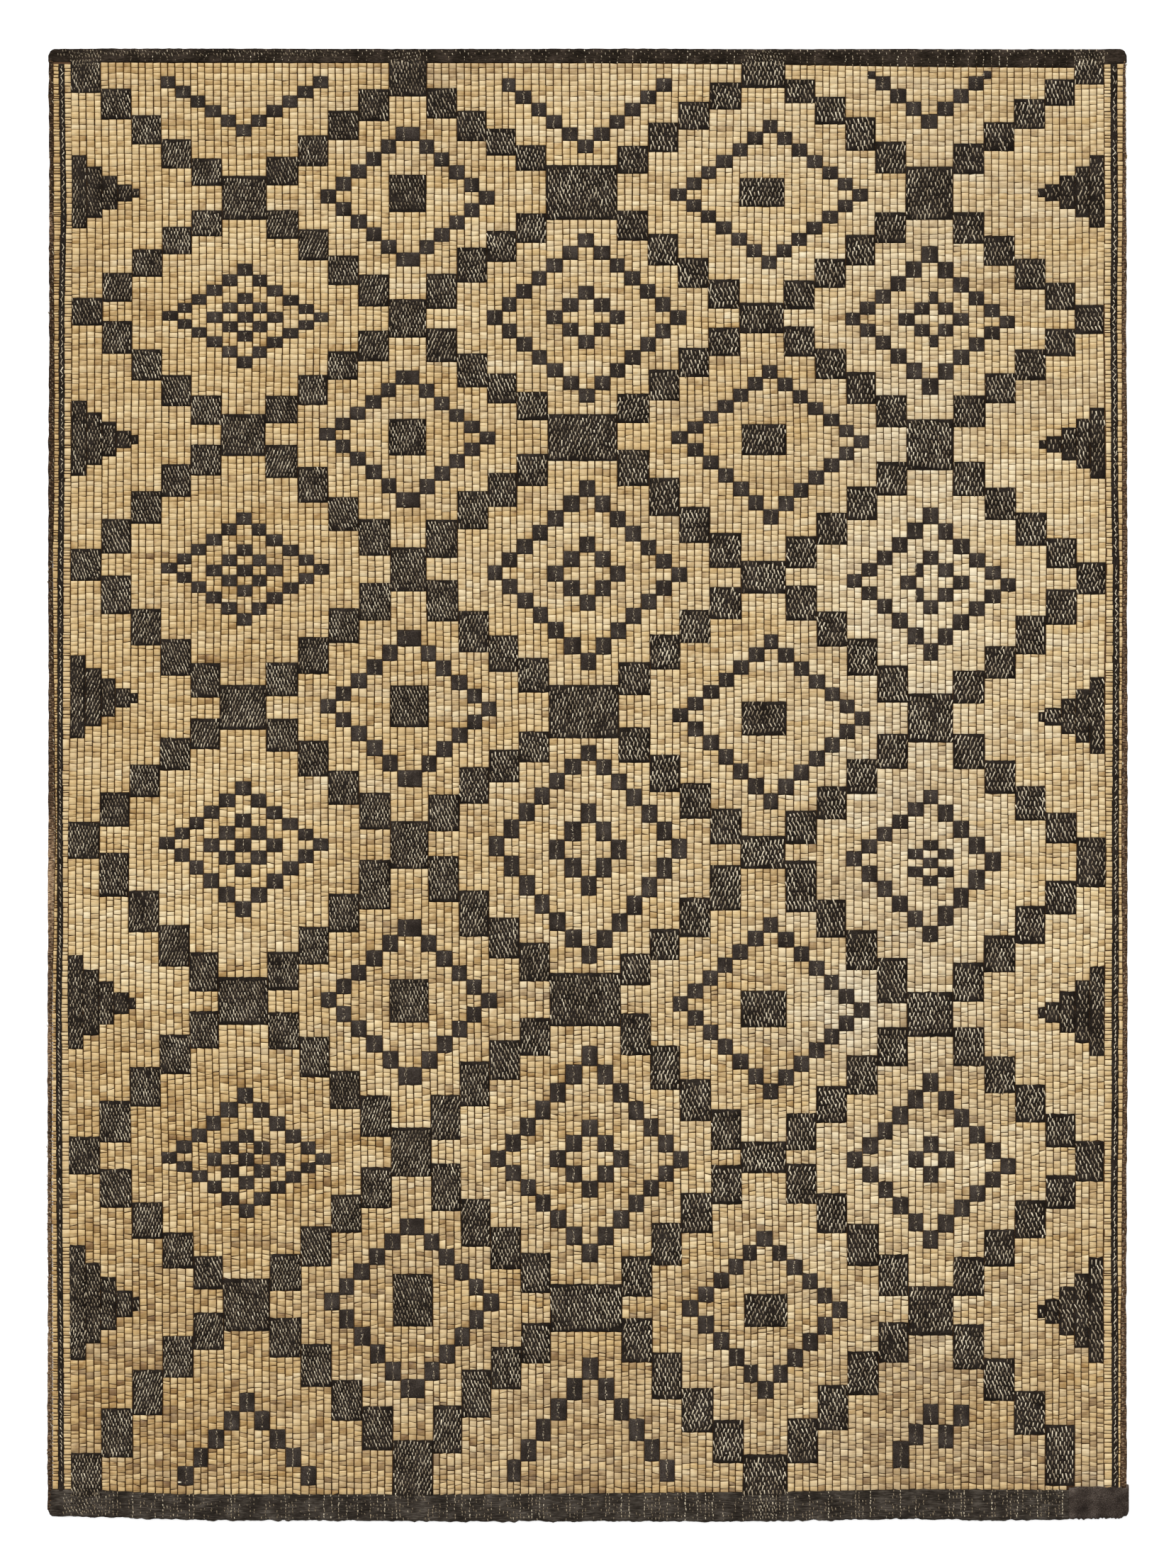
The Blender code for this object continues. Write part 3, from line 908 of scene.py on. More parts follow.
# %% [markdown]
# ## Leather
# The thongs, blocks and bands are goat leather, dyed nearly black with iron and tannin, dry and matt with
# the brown of the hide showing where it is rubbed. A grain about 1 mm across and larger worn patches
# give that. The same recipe, with other colours and wear, serves the thongs, the blocks and the bands.

# %% Materials of leather
GRAIN_SIZE = 1.1
PATCH_SIZE = 24.0
DRY_ROUGHNESS = 0.75
DUSTY_GLOSS = 0.04


def leather_material(name, deep, middle, rubbed, wear=0.5, stretch=1.0):
    """Dyed goat leather: three tones mixed by a fine grain and by slow patches, with grain relief.

    Stretch draws the grain out along the reeds, as on thongs laid that way. The gloss is well below that
    of a smooth skin, because dry leather is open and dusty.
    """
    material, shader = new_material(name, DRY_ROUGHNESS, 1.5, DUSTY_GLOSS)
    place = add_node(material, "ShaderNodeTexCoord").outputs["Object"]
    drawn = add_node(material, "ShaderNodeMapping", {"Vector": place, "Scale": (1 / stretch, 1.0, 1.0)})
    grain = add_node(material, "ShaderNodeTexNoise", {
        "Vector": drawn.outputs["Vector"], "Scale": 1 / (GRAIN_SIZE * MM), "Detail": 3.0, "Roughness": 0.65})
    patch = add_node(material, "ShaderNodeTexNoise", {
        "Vector": place, "Scale": 1 / (PATCH_SIZE * MM), "Detail": 2.0})
    mixed = add_node(material, "ShaderNodeMath", {0: patch.outputs["Fac"], 1: wear, 2: grain.outputs["Fac"]},
                     operation="MULTIPLY_ADD")
    centred = add_node(material, "ShaderNodeMath", {0: mixed.outputs[0], 1: 0.5 * wear}, operation="SUBTRACT")
    tones = fill_ramp(add_node(material, "ShaderNodeValToRGB", {"Fac": centred.outputs[0]}),
                      (0.28, deep), (0.5, middle), (0.75, rubbed))
    material.node_tree.links.new(tones, shader.inputs["Base Color"])
    relief = add_node(material, "ShaderNodeBump", {
        "Height": grain.outputs["Fac"], "Strength": 0.5, "Distance": 0.25 * MM})
    material.node_tree.links.new(relief.outputs["Normal"], shader.inputs["Normal"])
    return material


thong_leather = leather_material("cut leather thong", "#38230E", "#583B1B", "#7C5729")
block_leather = leather_material("black dyed goat leather", "#130F0B", "#211B16", "#3B342E")
small_leather = leather_material("dull dyed goat leather", "#1D1814", "#312A25", "#554D46")
band_leather = leather_material("black leather band", "#140F0A", "#261F18", "#423830", wear=0.7, stretch=6.0)
foot_leather = leather_material("rubbed leather band", "#171310", "#302A24", "#5A534B", stretch=12.0)
patch_leather = leather_material("mended corner leather", "#191512", "#342C27", "#625850", wear=0.6)

# %% [markdown]
# ## Thongs
# Each thong is a narrow strip with a low ridge, carried down the mat along its own wandering line. Its
# section is a triangle, which is enough at under 2 mm wide, and its width swells and shrinks slowly.

# %% Thongs
THONG_STATIONS = 111
THONG_HALF_WIDTH = 0.62
THONG_FOOT = 4.1
THONG_TOP = 5.3
THONG_WOBBLE = 0.16
THONG_SWELL = 0.16


def ridge_strips(across, down, half_width, foot, top):
    """Closed strips with a triangular section: across and down are (strips, stations)."""
    strips, stations = across.shape
    section = np.stack((to_mat(across - half_width, down, foot),
                        to_mat(across, down, top),
                        to_mat(across + half_width, down, foot)), axis=2)
    number = np.arange(strips * stations * 3).reshape(strips, stations, 3)
    near = number[:, :-1]
    far = number[:, 1:]
    sides = np.concatenate([np.stack((near[:, :, i], far[:, :, i], far[:, :, j], near[:, :, j]),
                                     axis=-1).reshape(-1, 4) for i, j in ((0, 1), (1, 2), (2, 0))])
    triangles = np.concatenate((sides[:, (0, 1, 2)], sides[:, (0, 2, 3)],
                                number[:, 0], number[:, -1, ::-1]))
    return section.reshape(-1, 3), triangles


thong_rows = np.linspace(0, REED_COUNT, THONG_STATIONS)
thong_line = np.stack([np.interp(thong_rows, np.arange(REED_COUNT + 1), thong)
                       for thong in thong_across[:, 1:-1].T])
thong_down = np.broadcast_to(np.interp(thong_rows, np.arange(REED_COUNT + 1), line_down), thong_line.shape)
thong_line = thong_line + THONG_WOBBLE * RANDOM.standard_normal(thong_line.shape)
thong_width = THONG_HALF_WIDTH * (1 + THONG_SWELL * smooth_noise(thong_line.shape, (0, 1)))
points, faces = ridge_strips(thong_line, thong_down, thong_width, THONG_FOOT, THONG_TOP)
add_piece("thongs", points, faces, "leather", thong_leather)

# %% [markdown]
# ## Ground
# Under the cells lies what the slits let through: the backs of the thongs and the shadow between reeds, which
# is painted shade in the dark brown top of the slab below.
# A closed slab stands for it and for the mat's underside, where the reeds' backs show as pale stripes that
# dark thongs cross. It is the cloth itself, so it takes the woven panel's place.

# %% Ground slab
GROUND_TOP = 4.15
SLAB_FLOOR = 0.3


def grid_faces(rows, columns):
    """Quads of a grid whose points are counted row by row, and the numbers of its rim in order round it."""
    number = np.arange(rows * columns).reshape(rows, columns)
    quads = np.stack((number[:-1, :-1], number[1:, :-1], number[1:, 1:], number[:-1, 1:]), axis=-1)
    rim = np.concatenate((number[0, :], number[1:, -1], number[-1, -2::-1], number[-2:0:-1, 0]))
    return quads.reshape(-1, 4), rim


def slab(top):
    """Closed solid under a (rows, columns, 3) grid: the grid, a flat copy of it below and four walls."""
    under = top.copy()
    under[:, :, 2] = SLAB_FLOOR * MM
    quads, rim = grid_faces(*top.shape[:2])
    after = np.roll(rim, -1)
    below = top.shape[0] * top.shape[1]
    walls = np.stack((rim, after, after + below, rim + below), axis=-1)
    faces = np.concatenate((quads, quads[:, ::-1] + below, walls))
    return np.concatenate((top.reshape(-1, 3), under.reshape(-1, 3))), faces


print("ground, from", SLAB_FLOOR, "to", GROUND_TOP, "mm high")

# %% Material of the ground
REED_PITCH = 8.0
THONG_PITCH = 10.7


def bands_scale(pitch):
    """Scale at which a wave texture repeats once in each pitch in mm: its own period is a tenth of pi."""
    return math.pi / (10 * pitch * MM)


def ground_material():
    """Dark brown on top, for the backs of thongs and as painted shade between reeds; underneath, reed backs
    as pale stripes with dark thongs across them.
    """
    material, shader = new_material("laced ground with painted shade", 0.8)
    place = add_node(material, "ShaderNodeTexCoord").outputs["Object"]
    facing = add_node(material, "ShaderNodeNewGeometry")
    split = add_node(material, "ShaderNodeSeparateXYZ", {0: facing.outputs["Normal"]})
    underneath = add_node(material, "ShaderNodeMath", {0: split.outputs["Z"], 1: -0.5}, operation="LESS_THAN")
    reed_wave = add_node(material, "ShaderNodeTexWave", {
        "Vector": place, "Scale": bands_scale(REED_PITCH), "Distortion": 0.6, "Detail": 2.0},
        bands_direction="Y")
    thong_wave = add_node(material, "ShaderNodeTexWave", {
        "Vector": place, "Scale": bands_scale(THONG_PITCH), "Distortion": 0.3, "Detail": 1.0},
        bands_direction="X")
    backs = fill_ramp(add_node(material, "ShaderNodeValToRGB", {"Fac": reed_wave.outputs["Fac"]}),
                      (0.0, "#4A3418"), (0.18, "#B08A55"), (1.0, "#CFAE78"))
    thong_mask = fill_ramp(add_node(material, "ShaderNodeValToRGB", {"Fac": thong_wave.outputs["Fac"]}),
                           (0.1, "#FFFFFF"), (0.2, "#000000"))
    laced = add_node(material, "ShaderNodeMix", {"Factor": thong_mask, "A": backs, "B": colour("#33210F")},
                     data_type="RGBA")
    # The top's dark brown is the thongs' backs and painted shade between the reeds.
    mixed = add_node(material, "ShaderNodeMix", {
        "Factor": underneath.outputs[0], "A": colour("#4E300F"), "B": laced.outputs["Result"]},
        data_type="RGBA")
    material.node_tree.links.new(mixed.outputs["Result"], shader.inputs["Base Color"])
    return material


PANEL_SIDES = (75.6, 1583.6)
GROUND_GRID = (50, 40)
ground_across = np.linspace(*PANEL_SIDES, GROUND_GRID[1])
ground_head = read_at(FIELD_ENDS, "head", ground_across)
ground_foot = read_at(FIELD_ENDS, "foot", ground_across)
ground_share = np.linspace(0, 1, GROUND_GRID[0])[:, None]
ground_down = ground_head + ground_share * (ground_foot - ground_head)
points, faces = slab(to_mat(ground_across[None, :], ground_down, GROUND_TOP))
ground = add_piece("ground", points, faces, "reed", ground_material(), ["woven_field"])

# %% [markdown]
# ## Leather blocks
# A block is a sheet of flat thongs laced over the reeds, so its surface keeps a soft rib for each reed
# below. Each block is a closed solid on a grid: two steps to a reed and one to a column, or an even number
# where the block is under four columns wide. It is raised by the half wave of each rib and let down at its
# rim. Every edge wanders by a few tenths of a millimetre. There are nearly a thousand blocks, so the hidden
# underside of each is only a fan of triangles.

# %% Leather blocks
BLOCK_TOP = 5.75
BLOCK_RIB = 0.22
BLOCK_RIM = 0.32
BLOCK_INSET = 0.2
BLOCK_GRAIN = 0.06
BLOCK_RAGGED = 0.3


def pad(top):
    """Closed solid under a (rows, columns, 3) grid whose flat underside is a fan about its middle."""
    quads, rim = grid_faces(*top.shape[:2])
    points = top.reshape(-1, 3)
    under = points[rim].copy()
    under[:, 2] = GROUND_TOP * MM
    below = len(points) + np.arange(len(rim))
    walls = np.stack((rim, np.roll(rim, -1), np.roll(below, -1), below), axis=-1)
    quads = np.concatenate((quads, walls))
    middle = np.full(len(rim), len(points) + len(rim))
    faces = np.concatenate((quads[:, (0, 1, 2)], quads[:, (0, 2, 3)],
                            np.stack((below, np.roll(below, -1), middle), axis=-1)))
    return np.concatenate((points, under, under.mean(axis=0, keepdims=True))), faces


def block_slab(_, first, last, top, end):
    """One block: across at every thong or closer, down at half ribs, the rim let down and roughened."""
    columns = last - first
    steps = columns if columns >= 4 else columns + columns % 2
    ribs = max(1, int(round((end - top) / REED_PITCH)))
    share_across = np.linspace(0, 1, steps + 1)
    share_down = np.linspace(0, 1, 2 * ribs + 1)
    down = top + share_down * (end - top)
    near = np.interp(down, line_down, thong_across[:, first + 1]) + BLOCK_INSET
    far = np.interp(down, line_down, thong_across[:, last + 1]) - BLOCK_INSET
    across = near[:, None] + share_across[None, :] * (far - near)[:, None]
    height = BLOCK_TOP + BLOCK_RIB * np.sin(np.pi * ribs * share_down[:, None]) ** 2
    height = height + BLOCK_GRAIN * RANDOM.standard_normal(across.shape)
    height[[0, -1], :] -= BLOCK_RIM
    height[:, [0, -1]] -= BLOCK_RIM * 0.6
    ragged = BLOCK_RAGGED * RANDOM.standard_normal(across.shape)
    down = np.repeat(down[:, None], steps + 1, axis=1)
    down[[0, -1], :] += ragged[[0, -1], :]
    across[:, [0, -1]] += 0.5 * ragged[:, [0, -1]]
    return pad(to_mat(across, down, height))


def joined(parts):
    """Points and faces of many closed parts as one pair of arrays."""
    counts = np.concatenate(([0], np.cumsum([len(points) for points, _ in parts])))[:-1]
    return (np.concatenate([points for points, _ in parts]),
            np.concatenate([faces + start for (_, faces), start in zip(parts, counts)]))


large_blocks = [block for block in blocks if block[0] != "small"]
small_blocks = [block for block in blocks if block[0] == "small"]
for name, chosen, leather in (("lattice_leather", large_blocks, block_leather),
                              ("diamond_leather", small_blocks, small_leather)):
    points, faces = joined([block_slab(*block) for block in chosen])
    add_piece(name, points, faces, "leather", leather)

# %% [markdown]
# ## Flecks
# Between the flat thongs of a block the reeds glint through as short pale dashes, in staggered rows that
# lean one way or the other, block by block, and swing slowly over the mat. Each fleck is a low oblong
# pyramid of six triangles, so some 28,000 of them stay light, and a tone value makes some of them bright and
# some dull.

# %% Material of the flecks
fleck_material, fleck_shader = new_material("reed skin between thongs", 0.6, 1.48, gloss=0.3)
fleck_tone = add_node(fleck_material, "ShaderNodeAttribute", attribute_name="tone").outputs["Fac"]
fleck_colour = fill_ramp(add_node(fleck_material, "ShaderNodeValToRGB", {"Fac": fleck_tone}),
                         (0.0, "#3C3022"), (0.5, "#93836A"), (1.0, "#E2D5B9"))
fleck_material.node_tree.links.new(fleck_colour, fleck_shader.inputs["Base Color"])

# %% Fleck pyramids
FLECK_PITCH = (4.6, 10.4)
FLECK_SIZE = (4.8, 1.15)
FLECK_LEAN = math.radians(13)
FLECK_SWING = math.radians(4)
FLECK_FOOT = 5.93
FLECK_RISE = 0.3
FLECK_FACES = np.array([(0, 1, 4), (1, 2, 4), (2, 3, 4), (3, 0, 4), (2, 1, 0), (3, 2, 0)])


def fleck_mesh(flecks, foot=FLECK_FOOT, rise=FLECK_RISE):
    """Oblong pyramids from rows of across, down, length, width, lean (the top to the left) and tone."""
    across, down, length, width, lean, tone = flecks.T
    along = np.stack((np.sin(lean), np.cos(lean)), axis=1) * length[:, None] / 2
    beside = np.stack((np.cos(lean), -np.sin(lean)), axis=1) * width[:, None] / 2
    middle = np.stack((across, down), axis=1)
    corners = np.stack((middle + along - beside, middle + along + beside,
                        middle - along + beside, middle - along - beside, middle), axis=1)
    heights = np.full(corners.shape[:2], foot)
    heights[:, 4] += rise
    points = to_mat(corners[:, :, 0], corners[:, :, 1], heights)
    faces = FLECK_FACES[None] + 5 * np.arange(len(points))[:, None, None]
    return points.reshape(-1, 3), faces.reshape(-1, 3), np.repeat(tone, 5)


# %% Where flecks are brighter
GLOW_GRAIN = 12.0
GLOW_GRID = (190, 140)
GLOW_SPREAD = 0.08
GLOW_SPOTS = (
    (1078, 1203, 45, 45, 0.22),
    (1078, 1633, 45, 45, 0.16),
    (1078, 815, 45, 45, 0.08),
    (1440, 330, 260, 260, -0.10),
    (576, 273, 40, 40, -0.16),
    (576, 112, 40, 40, -0.15),
    (576, 1834, 45, 45, -0.10),
    (112, 270, 50, 50, -0.08),
    (825, 1845, 60, 60, 0.12),
    (1312, 620, 45, 45, 0.12),
    (1312, 1015, 45, 45, 0.14),
    (1312, 1420, 45, 45, 0.10),
)
fleck_glow = smooth_noise(GLOW_GRID, (0.55, 0.55))
fleck_swing = smooth_noise(GLOW_GRID, (3, 3))
print("noise for the flecks, a value for each", GLOW_GRAIN, "mm:", GLOW_GRID)


def grid_at(grid, across, down):
    """A coarse noise grid over the mat, read at the nearest place."""
    row = np.clip((down / GLOW_GRAIN).astype(int), 0, grid.shape[0] - 1)
    column = np.clip((across / GLOW_GRAIN).astype(int), 0, grid.shape[1] - 1)
    return grid[row, column]


def glow_at(across, down):
    """How much brighter flecks are at a place: a coarse noise and a few places that are worn more or less."""
    return GLOW_SPREAD * grid_at(fleck_glow, across, down) + spots_at(GLOW_SPOTS, across, down)


# %% Flecks of the blocks
FLECK_TONES = {"step": 0.60, "crossing": 0.58, "oblong": 0.56, "triangle": 0.50}
FLECK_INSET = 1.2
RIM_MARGIN = 2.4
WIDE_MARGIN = 3.4
WIDE_CROSSING = 6
COARSER_RIGHT = 0.25
LEFT_LEANS = (1.0, 1.0, 1.2, 0.7, -0.9)
LEFT_NETTED = (0.0, 0.0, 0.5, 1.7)
RIGHT_NETTED = (1.2, 1.6, 2.0)
LEAST_TONE = 0.15


def fleck_rows(left, right, top, end, lean, netted=0.0, coarse=1.0):
    """Flecks on a staggered lattice inside an oblong: columns half a pitch apart, every other one lower.

    Netted turns every other column's lean by that much, up to 2 for the opposite lean, and coarse
    enlarges the flecks and their pitch alike.
    """
    pitch = coarse * FLECK_PITCH[0]
    drop = coarse * FLECK_PITCH[1]
    columns = np.arange(math.ceil((right - left) / (pitch / 2)) + 1)
    rows = np.arange(-3, math.ceil((end - top) / drop) + 3)
    start = drop * RANDOM.random()
    shear = 0.35 * RANDOM.standard_normal()
    across = left + columns[None, :] * pitch / 2
    across = across + 0.25 * RANDOM.standard_normal((len(rows), len(columns)))
    down = top + start + (rows[:, None] + 0.5 * (columns[None, :] % 2)) * drop
    down = down + shear * columns[None, :]
    down = down + 0.55 * RANDOM.standard_normal(down.shape)
    sense = np.broadcast_to(1 - netted * (columns % 2), down.shape)
    keep = (across > left) & (across < right) & (down > top) & (down < end)
    count = int(keep.sum())
    leans = lean * sense[keep] + math.radians(5) * RANDOM.standard_normal(count)
    leans += FLECK_SWING * grid_at(fleck_swing, across[keep], down[keep])
    length = FLECK_SIZE[0] * coarse * (1 + 0.20 * RANDOM.standard_normal(count))
    width = FLECK_SIZE[1] * coarse * (1 + 0.15 * RANDOM.standard_normal(count))
    return np.stack((across[keep], down[keep], length, width, leans, np.full(count, 0.5)), axis=1)


def block_flecks(kind, first, last, top, end):
    """The flecks of one block, with its own lean; some places, and most of its ends, stay dark.

    On the left half most flecks are short and lean one way. On the right they are coarser and cross.
    """
    margin = WIDE_MARGIN if kind == "crossing" and last - first >= WIDE_CROSSING else RIM_MARGIN
    left = float(np.interp(top, line_down, thong_across[:, first + 1])) + FLECK_INSET
    right = float(np.interp(end, line_down, thong_across[:, last + 1])) - FLECK_INSET
    to_right = float(rising(left, 500, 900))
    lean = FLECK_LEAN * RANDOM.choice(LEFT_LEANS) * (0.85 + 0.45 * to_right)
    netted = RANDOM.choice(LEFT_NETTED) * (1 - to_right) + RANDOM.choice(RIGHT_NETTED) * to_right
    flecks = fleck_rows(left, right, top + margin, end - margin, lean, netted, 1 + COARSER_RIGHT * to_right)
    from_end = np.minimum(flecks[:, 1] - top, end - flecks[:, 1]) - margin
    tone = FLECK_TONES[kind] + 0.04 * to_right + glow_at(flecks[:, 0], flecks[:, 1])
    tone += 0.16 * RANDOM.standard_normal(len(flecks))
    tone -= 0.30 * rising(from_end, 4.0, 0.0) * RANDOM.random(len(flecks))
    flecks[:, 5] = tone
    flecks[:, 2:4] *= np.clip(0.65 + 0.7 * tone, 0.7, 1.15)[:, None]
    return flecks[tone > LEAST_TONE]


# %% Dashes of the small blocks
DASH_PITCH = 2.8
DASH_WIDTH = 0.8
DASH_TONE = 0.44
DASH_SHARE = 0.85
LYING_SHARE = 0.2
# One bright chip near the foot: across, down, length, width, lean and tone.
BRIGHT_CHIP = (254.0, 2091.0, 2.2, 5.0, 0.0, 1.1)


def centre_dashes(_, first, last, top, end):
    """A few small dull dashes down the middle thong of a small block, one in five of them lying across."""
    down = np.repeat(np.arange(top + 2.5, end - 1.5, DASH_PITCH), 2)
    count = len(down)
    across = np.interp(down, line_down, thong_across[:, (first + last) // 2 + 1])
    across = across + 0.9 * RANDOM.standard_normal(count)
    down = down + 0.8 * RANDOM.standard_normal(count)
    tone = DASH_TONE + 0.26 * RANDOM.standard_normal(count)
    lying = RANDOM.random(count) < LYING_SHARE
    lean = math.radians(10) * RANDOM.standard_normal(count) + math.radians(85) * lying
    length = 1.8 + 1.2 * RANDOM.random(count)
    dashes = np.stack((across, down, length, np.full(count, DASH_WIDTH), lean, tone), axis=1)
    return dashes[RANDOM.random(count) < DASH_SHARE]


lattice_flecks = np.concatenate([block_flecks(*block) for block in large_blocks])
small_dashes = np.concatenate([centre_dashes(*block) for block in small_blocks] + [[BRIGHT_CHIP]])
print("lattice flecks:", len(lattice_flecks), "small dashes:", len(small_dashes))
in_head_half = lattice_flecks[:, 1] < 1100
for name, part in (("head_flecks", lattice_flecks[in_head_half]),
                   ("foot_flecks", lattice_flecks[~in_head_half]),
                   ("diamond_dashes", small_dashes)):
    points, faces, tone = fleck_mesh(part)
    add_piece(name, points, faces, "reed", fleck_material, tone=tone)

# %% [markdown]
# ## Knots
# Where a thong is drawn tight between two reeds it shows as a small dark knot. About one crossing in three
# has one that is big enough to see. The knots are the same low pyramids, laid across and coloured as leather.

# %% Knots
KNOT_SIZE = (1.5, 2.4)
KNOT_SHARE = 0.3
KNOT_FOOT = 4.9
KNOT_RISE = 0.7
uncovered = ~(covered[1:, 1:] | covered[:-1, 1:] | covered[1:, :-1] | covered[:-1, :-1])
uncovered[:, [0, -1]] = False
knot_row, knot_column = np.nonzero(uncovered & (RANDOM.random(uncovered.shape) < KNOT_SHARE))
count = len(knot_row)
knots = np.stack((thong_across[knot_row + 1, knot_column + 1],
                  lines[knot_row + 1, knot_column] + 0.4 * RANDOM.standard_normal(count),
                  KNOT_SIZE[0] * (1 + 0.5 * RANDOM.random(count)),
                  KNOT_SIZE[1] * (0.7 + 0.6 * RANDOM.random(count)),
                  0.3 * RANDOM.standard_normal(count), np.zeros(count)), axis=1)
points, faces, _ = fleck_mesh(knots, KNOT_FOOT, KNOT_RISE)
add_piece("thong_knots", points, faces, "leather", block_leather)

# %% [markdown]
# ## Bands and patch
# The head band covers two reeds and the foot band five. Both are leather folded over the reeds, so they are
# slabs on a grid with a rib for each reed and a worn outer edge. A patch of darker leather mends the corner
# at the bottom right.

# %% Bands
BAND_OUTER = read_table("""
across   head    foot
67.7     69.7    2139.2
180      69.2    2141.7
300      69.2    2145.2
500      69.7    2145.7
700      69.7    2147.0
900      69.2    2146.2
1080     70.2    2147.0
1280     69.7    2142.7
1400     70.2    2145.4
1507     70.2    2143.7
1593.7   69.7    2141.2
""")
CORNER_RADIUS = 10.0
BAND_TOP = 5.35
BAND_RIB = 0.55
BAND_EDGE_DROP = 0.8
NO_LEFT_CORNER = 0.0
NO_RIGHT_CORNER = 3000.0


def corner_rounding(across, start, finish):
    """How far a round corner draws the outer edge in, from the distance to the nearer end."""
    reach = np.clip(np.minimum(across - start, finish - across), 0.02, CORNER_RADIUS)
    return CORNER_RADIUS - np.sqrt(CORNER_RADIUS ** 2 - (CORNER_RADIUS - reach) ** 2)


def band(name, across, outer, inner, ribs, rib_steps, replaced, material, ragged, lump=0.08):
    """A ribbed band between an outer and an inner line, both given at each place across."""
    share = np.linspace(0, 1, rib_steps * ribs + 1)
    outer = outer + ragged * smooth_noise((len(across),), (0.7,))
    down = outer[None, :] + share[:, None] * (inner - outer)[None, :]
    height = BAND_TOP + BAND_RIB * np.abs(np.sin(np.pi * ribs * share)) ** 0.7
    height = height[:, None] + lump * smooth_noise(down.shape, (0.8, 1.5))
    height[[0, -1], :] -= BAND_EDGE_DROP
    height[:, [0, -1]] -= BAND_EDGE_DROP
    grid = to_mat(across[None, :], down, height)
    if inner[0] < outer[0]:
        grid = grid[::-1]
    points, faces = slab(grid)
    return add_piece(name, points, faces, "leather", material, [replaced])


head_across = np.linspace(68.6, 1589.0, 500)
head_outer = read_at(BAND_OUTER, "head", head_across) + corner_rounding(head_across, 68.5, 1589.1)
head_inner = np.maximum(read_at(FIELD_ENDS, "head", head_across), head_outer + 3)
band("head_band_leather", head_across, head_outer, head_inner, 2, 4, "head_band", band_leather, 0.175)

foot_across = np.linspace(68.0, 1508.0, 480)
foot_outer = read_at(BAND_OUTER, "foot", foot_across) - corner_rounding(foot_across, 67.9, NO_RIGHT_CORNER)
foot_inner = read_at(FIELD_ENDS, "foot", foot_across) - 0.6
band("foot_band_leather", foot_across, foot_outer, foot_inner, 5, 3, "foot_band", foot_leather, 0.63)

patch_across = np.linspace(1507.2, 1592.0, 60)
patch_outer = read_at(BAND_OUTER, "foot", patch_across)
patch_outer = patch_outer - corner_rounding(patch_across, NO_LEFT_CORNER, 1592.1)
patch_inner = read_at(FIELD_ENDS, "foot", patch_across) - 1.5
patch_inner = patch_inner - 1.2 * np.abs(smooth_noise((len(patch_across),), (2.5,)))
band("corner_leather", patch_across, patch_outer, patch_inner, 4, 3, "corner_patch", patch_leather,
     0.77, lump=0.3)

# %% [markdown]
# ## Bindings and cords
# The cut reed ends are closed by folded leather, whipped over every 5 mm. It has worn through to the pale
# reed ends at some places on the left. Inside each binding, past a narrow column of reeds, runs a cord of
# two twisted strands with a chain of pale stitches. Both are surfaces carried down the mat.

# %% Material of the bindings
# Each worn place: its middle down the mat, its reach, and how deep the wear is.
WORN_PLACES = ((320, 24, 0.3), (1000, 60, 0.2), (1250, 110, 0.62), (1480, 70, 0.45), (1700, 90, 0.35),
               (1930, 110, 0.45))


def worn_share(down):
    """How far the left binding is worn through, from 0 to 1, as bells at a few places down the mat."""
    depths = [depth * np.exp(-((down - middle) / reach) ** 2) for middle, reach, depth in WORN_PLACES]
    return np.clip(sum(depths), 0, 1)


binding_leather, binding_shader = new_material("worn leather binding", DRY_ROUGHNESS, 1.5, gloss=0.06)
binding_place = add_node(binding_leather, "ShaderNodeTexCoord").outputs["Object"]
binding_wear = add_node(binding_leather, "ShaderNodeAttribute", attribute_name="worn").outputs["Fac"]
binding_fibre = along_reeds(binding_leather, binding_place, (6.0, 1.6), 3.0, 0.65)
binding_streak = add_node(binding_leather, "ShaderNodeMapRange", {
    "Value": binding_fibre.outputs["Fac"], "From Min": 0.3, "From Max": 0.7, "To Min": 0.1, "To Max": 0.85})
binding_mix = add_node(binding_leather, "ShaderNodeMath", {
    0: binding_wear, 1: 0.60, 2: binding_streak.outputs[0]}, operation="MULTIPLY_ADD")
binding_colour = fill_ramp(add_node(binding_leather, "ShaderNodeValToRGB", {"Fac": binding_mix.outputs[0]}),
                           (0.30, "#1A120B"), (0.55, "#39291C"), (0.72, "#5E4935"), (0.90, "#93765A"),
                           (1.0, "#B29877"))
binding_leather.node_tree.links.new(binding_colour, binding_shader.inputs["Base Color"])

# %% Bindings
BINDING_PITCH = 5.2
BINDING_STATIONS = 900
BINDING_FOOT = 4.2
BINDING_ROUND = 1.5
WHIPPING_RISE = 0.4
RIGHT_WEAR = 0.24


def binding(side, last_down):
    """A half-round strip from its outer edge to its inner line, with a bump for each turn of whipping."""
    down = np.linspace(86.0, last_down, BINDING_STATIONS)
    share = np.linspace(0, 1, 5)
    inner = read_at(SELVEDGES, f"{side}_binding", down)
    outer = read_at(RIMS, side, down)
    rim = outer + 0.3 * smooth_noise((len(down),), (25,)) + 0.3 * smooth_noise((len(down),), (1.5,))
    across = rim[:, None] + share[None, :] * (inner - rim)[:, None]
    turns = np.sin(np.pi * (down[:, None] + 0.5 * np.abs(across - outer[:, None])) / BINDING_PITCH) ** 2
    arch = np.sin(np.pi * (0.12 + 0.8 * share))[None, :]
    grid = to_mat(across, down[:, None], BINDING_FOOT + BINDING_ROUND * arch + WHIPPING_RISE * turns)
    worn = worn_share(down) if side == "left" else np.full(len(down), RIGHT_WEAR)
    worn = np.repeat(worn[:, None], len(share), axis=1)
    if side == "right":
        grid = grid[:, ::-1]
    points, faces = slab(grid)
    return add_piece(f"{side}_binding_leather", points, faces, "leather", binding_leather,
                     [f"{side}_binding"], worn=np.tile(worn.ravel(), 2))


binding("left", 2130.0)
binding("right", 2099.0)

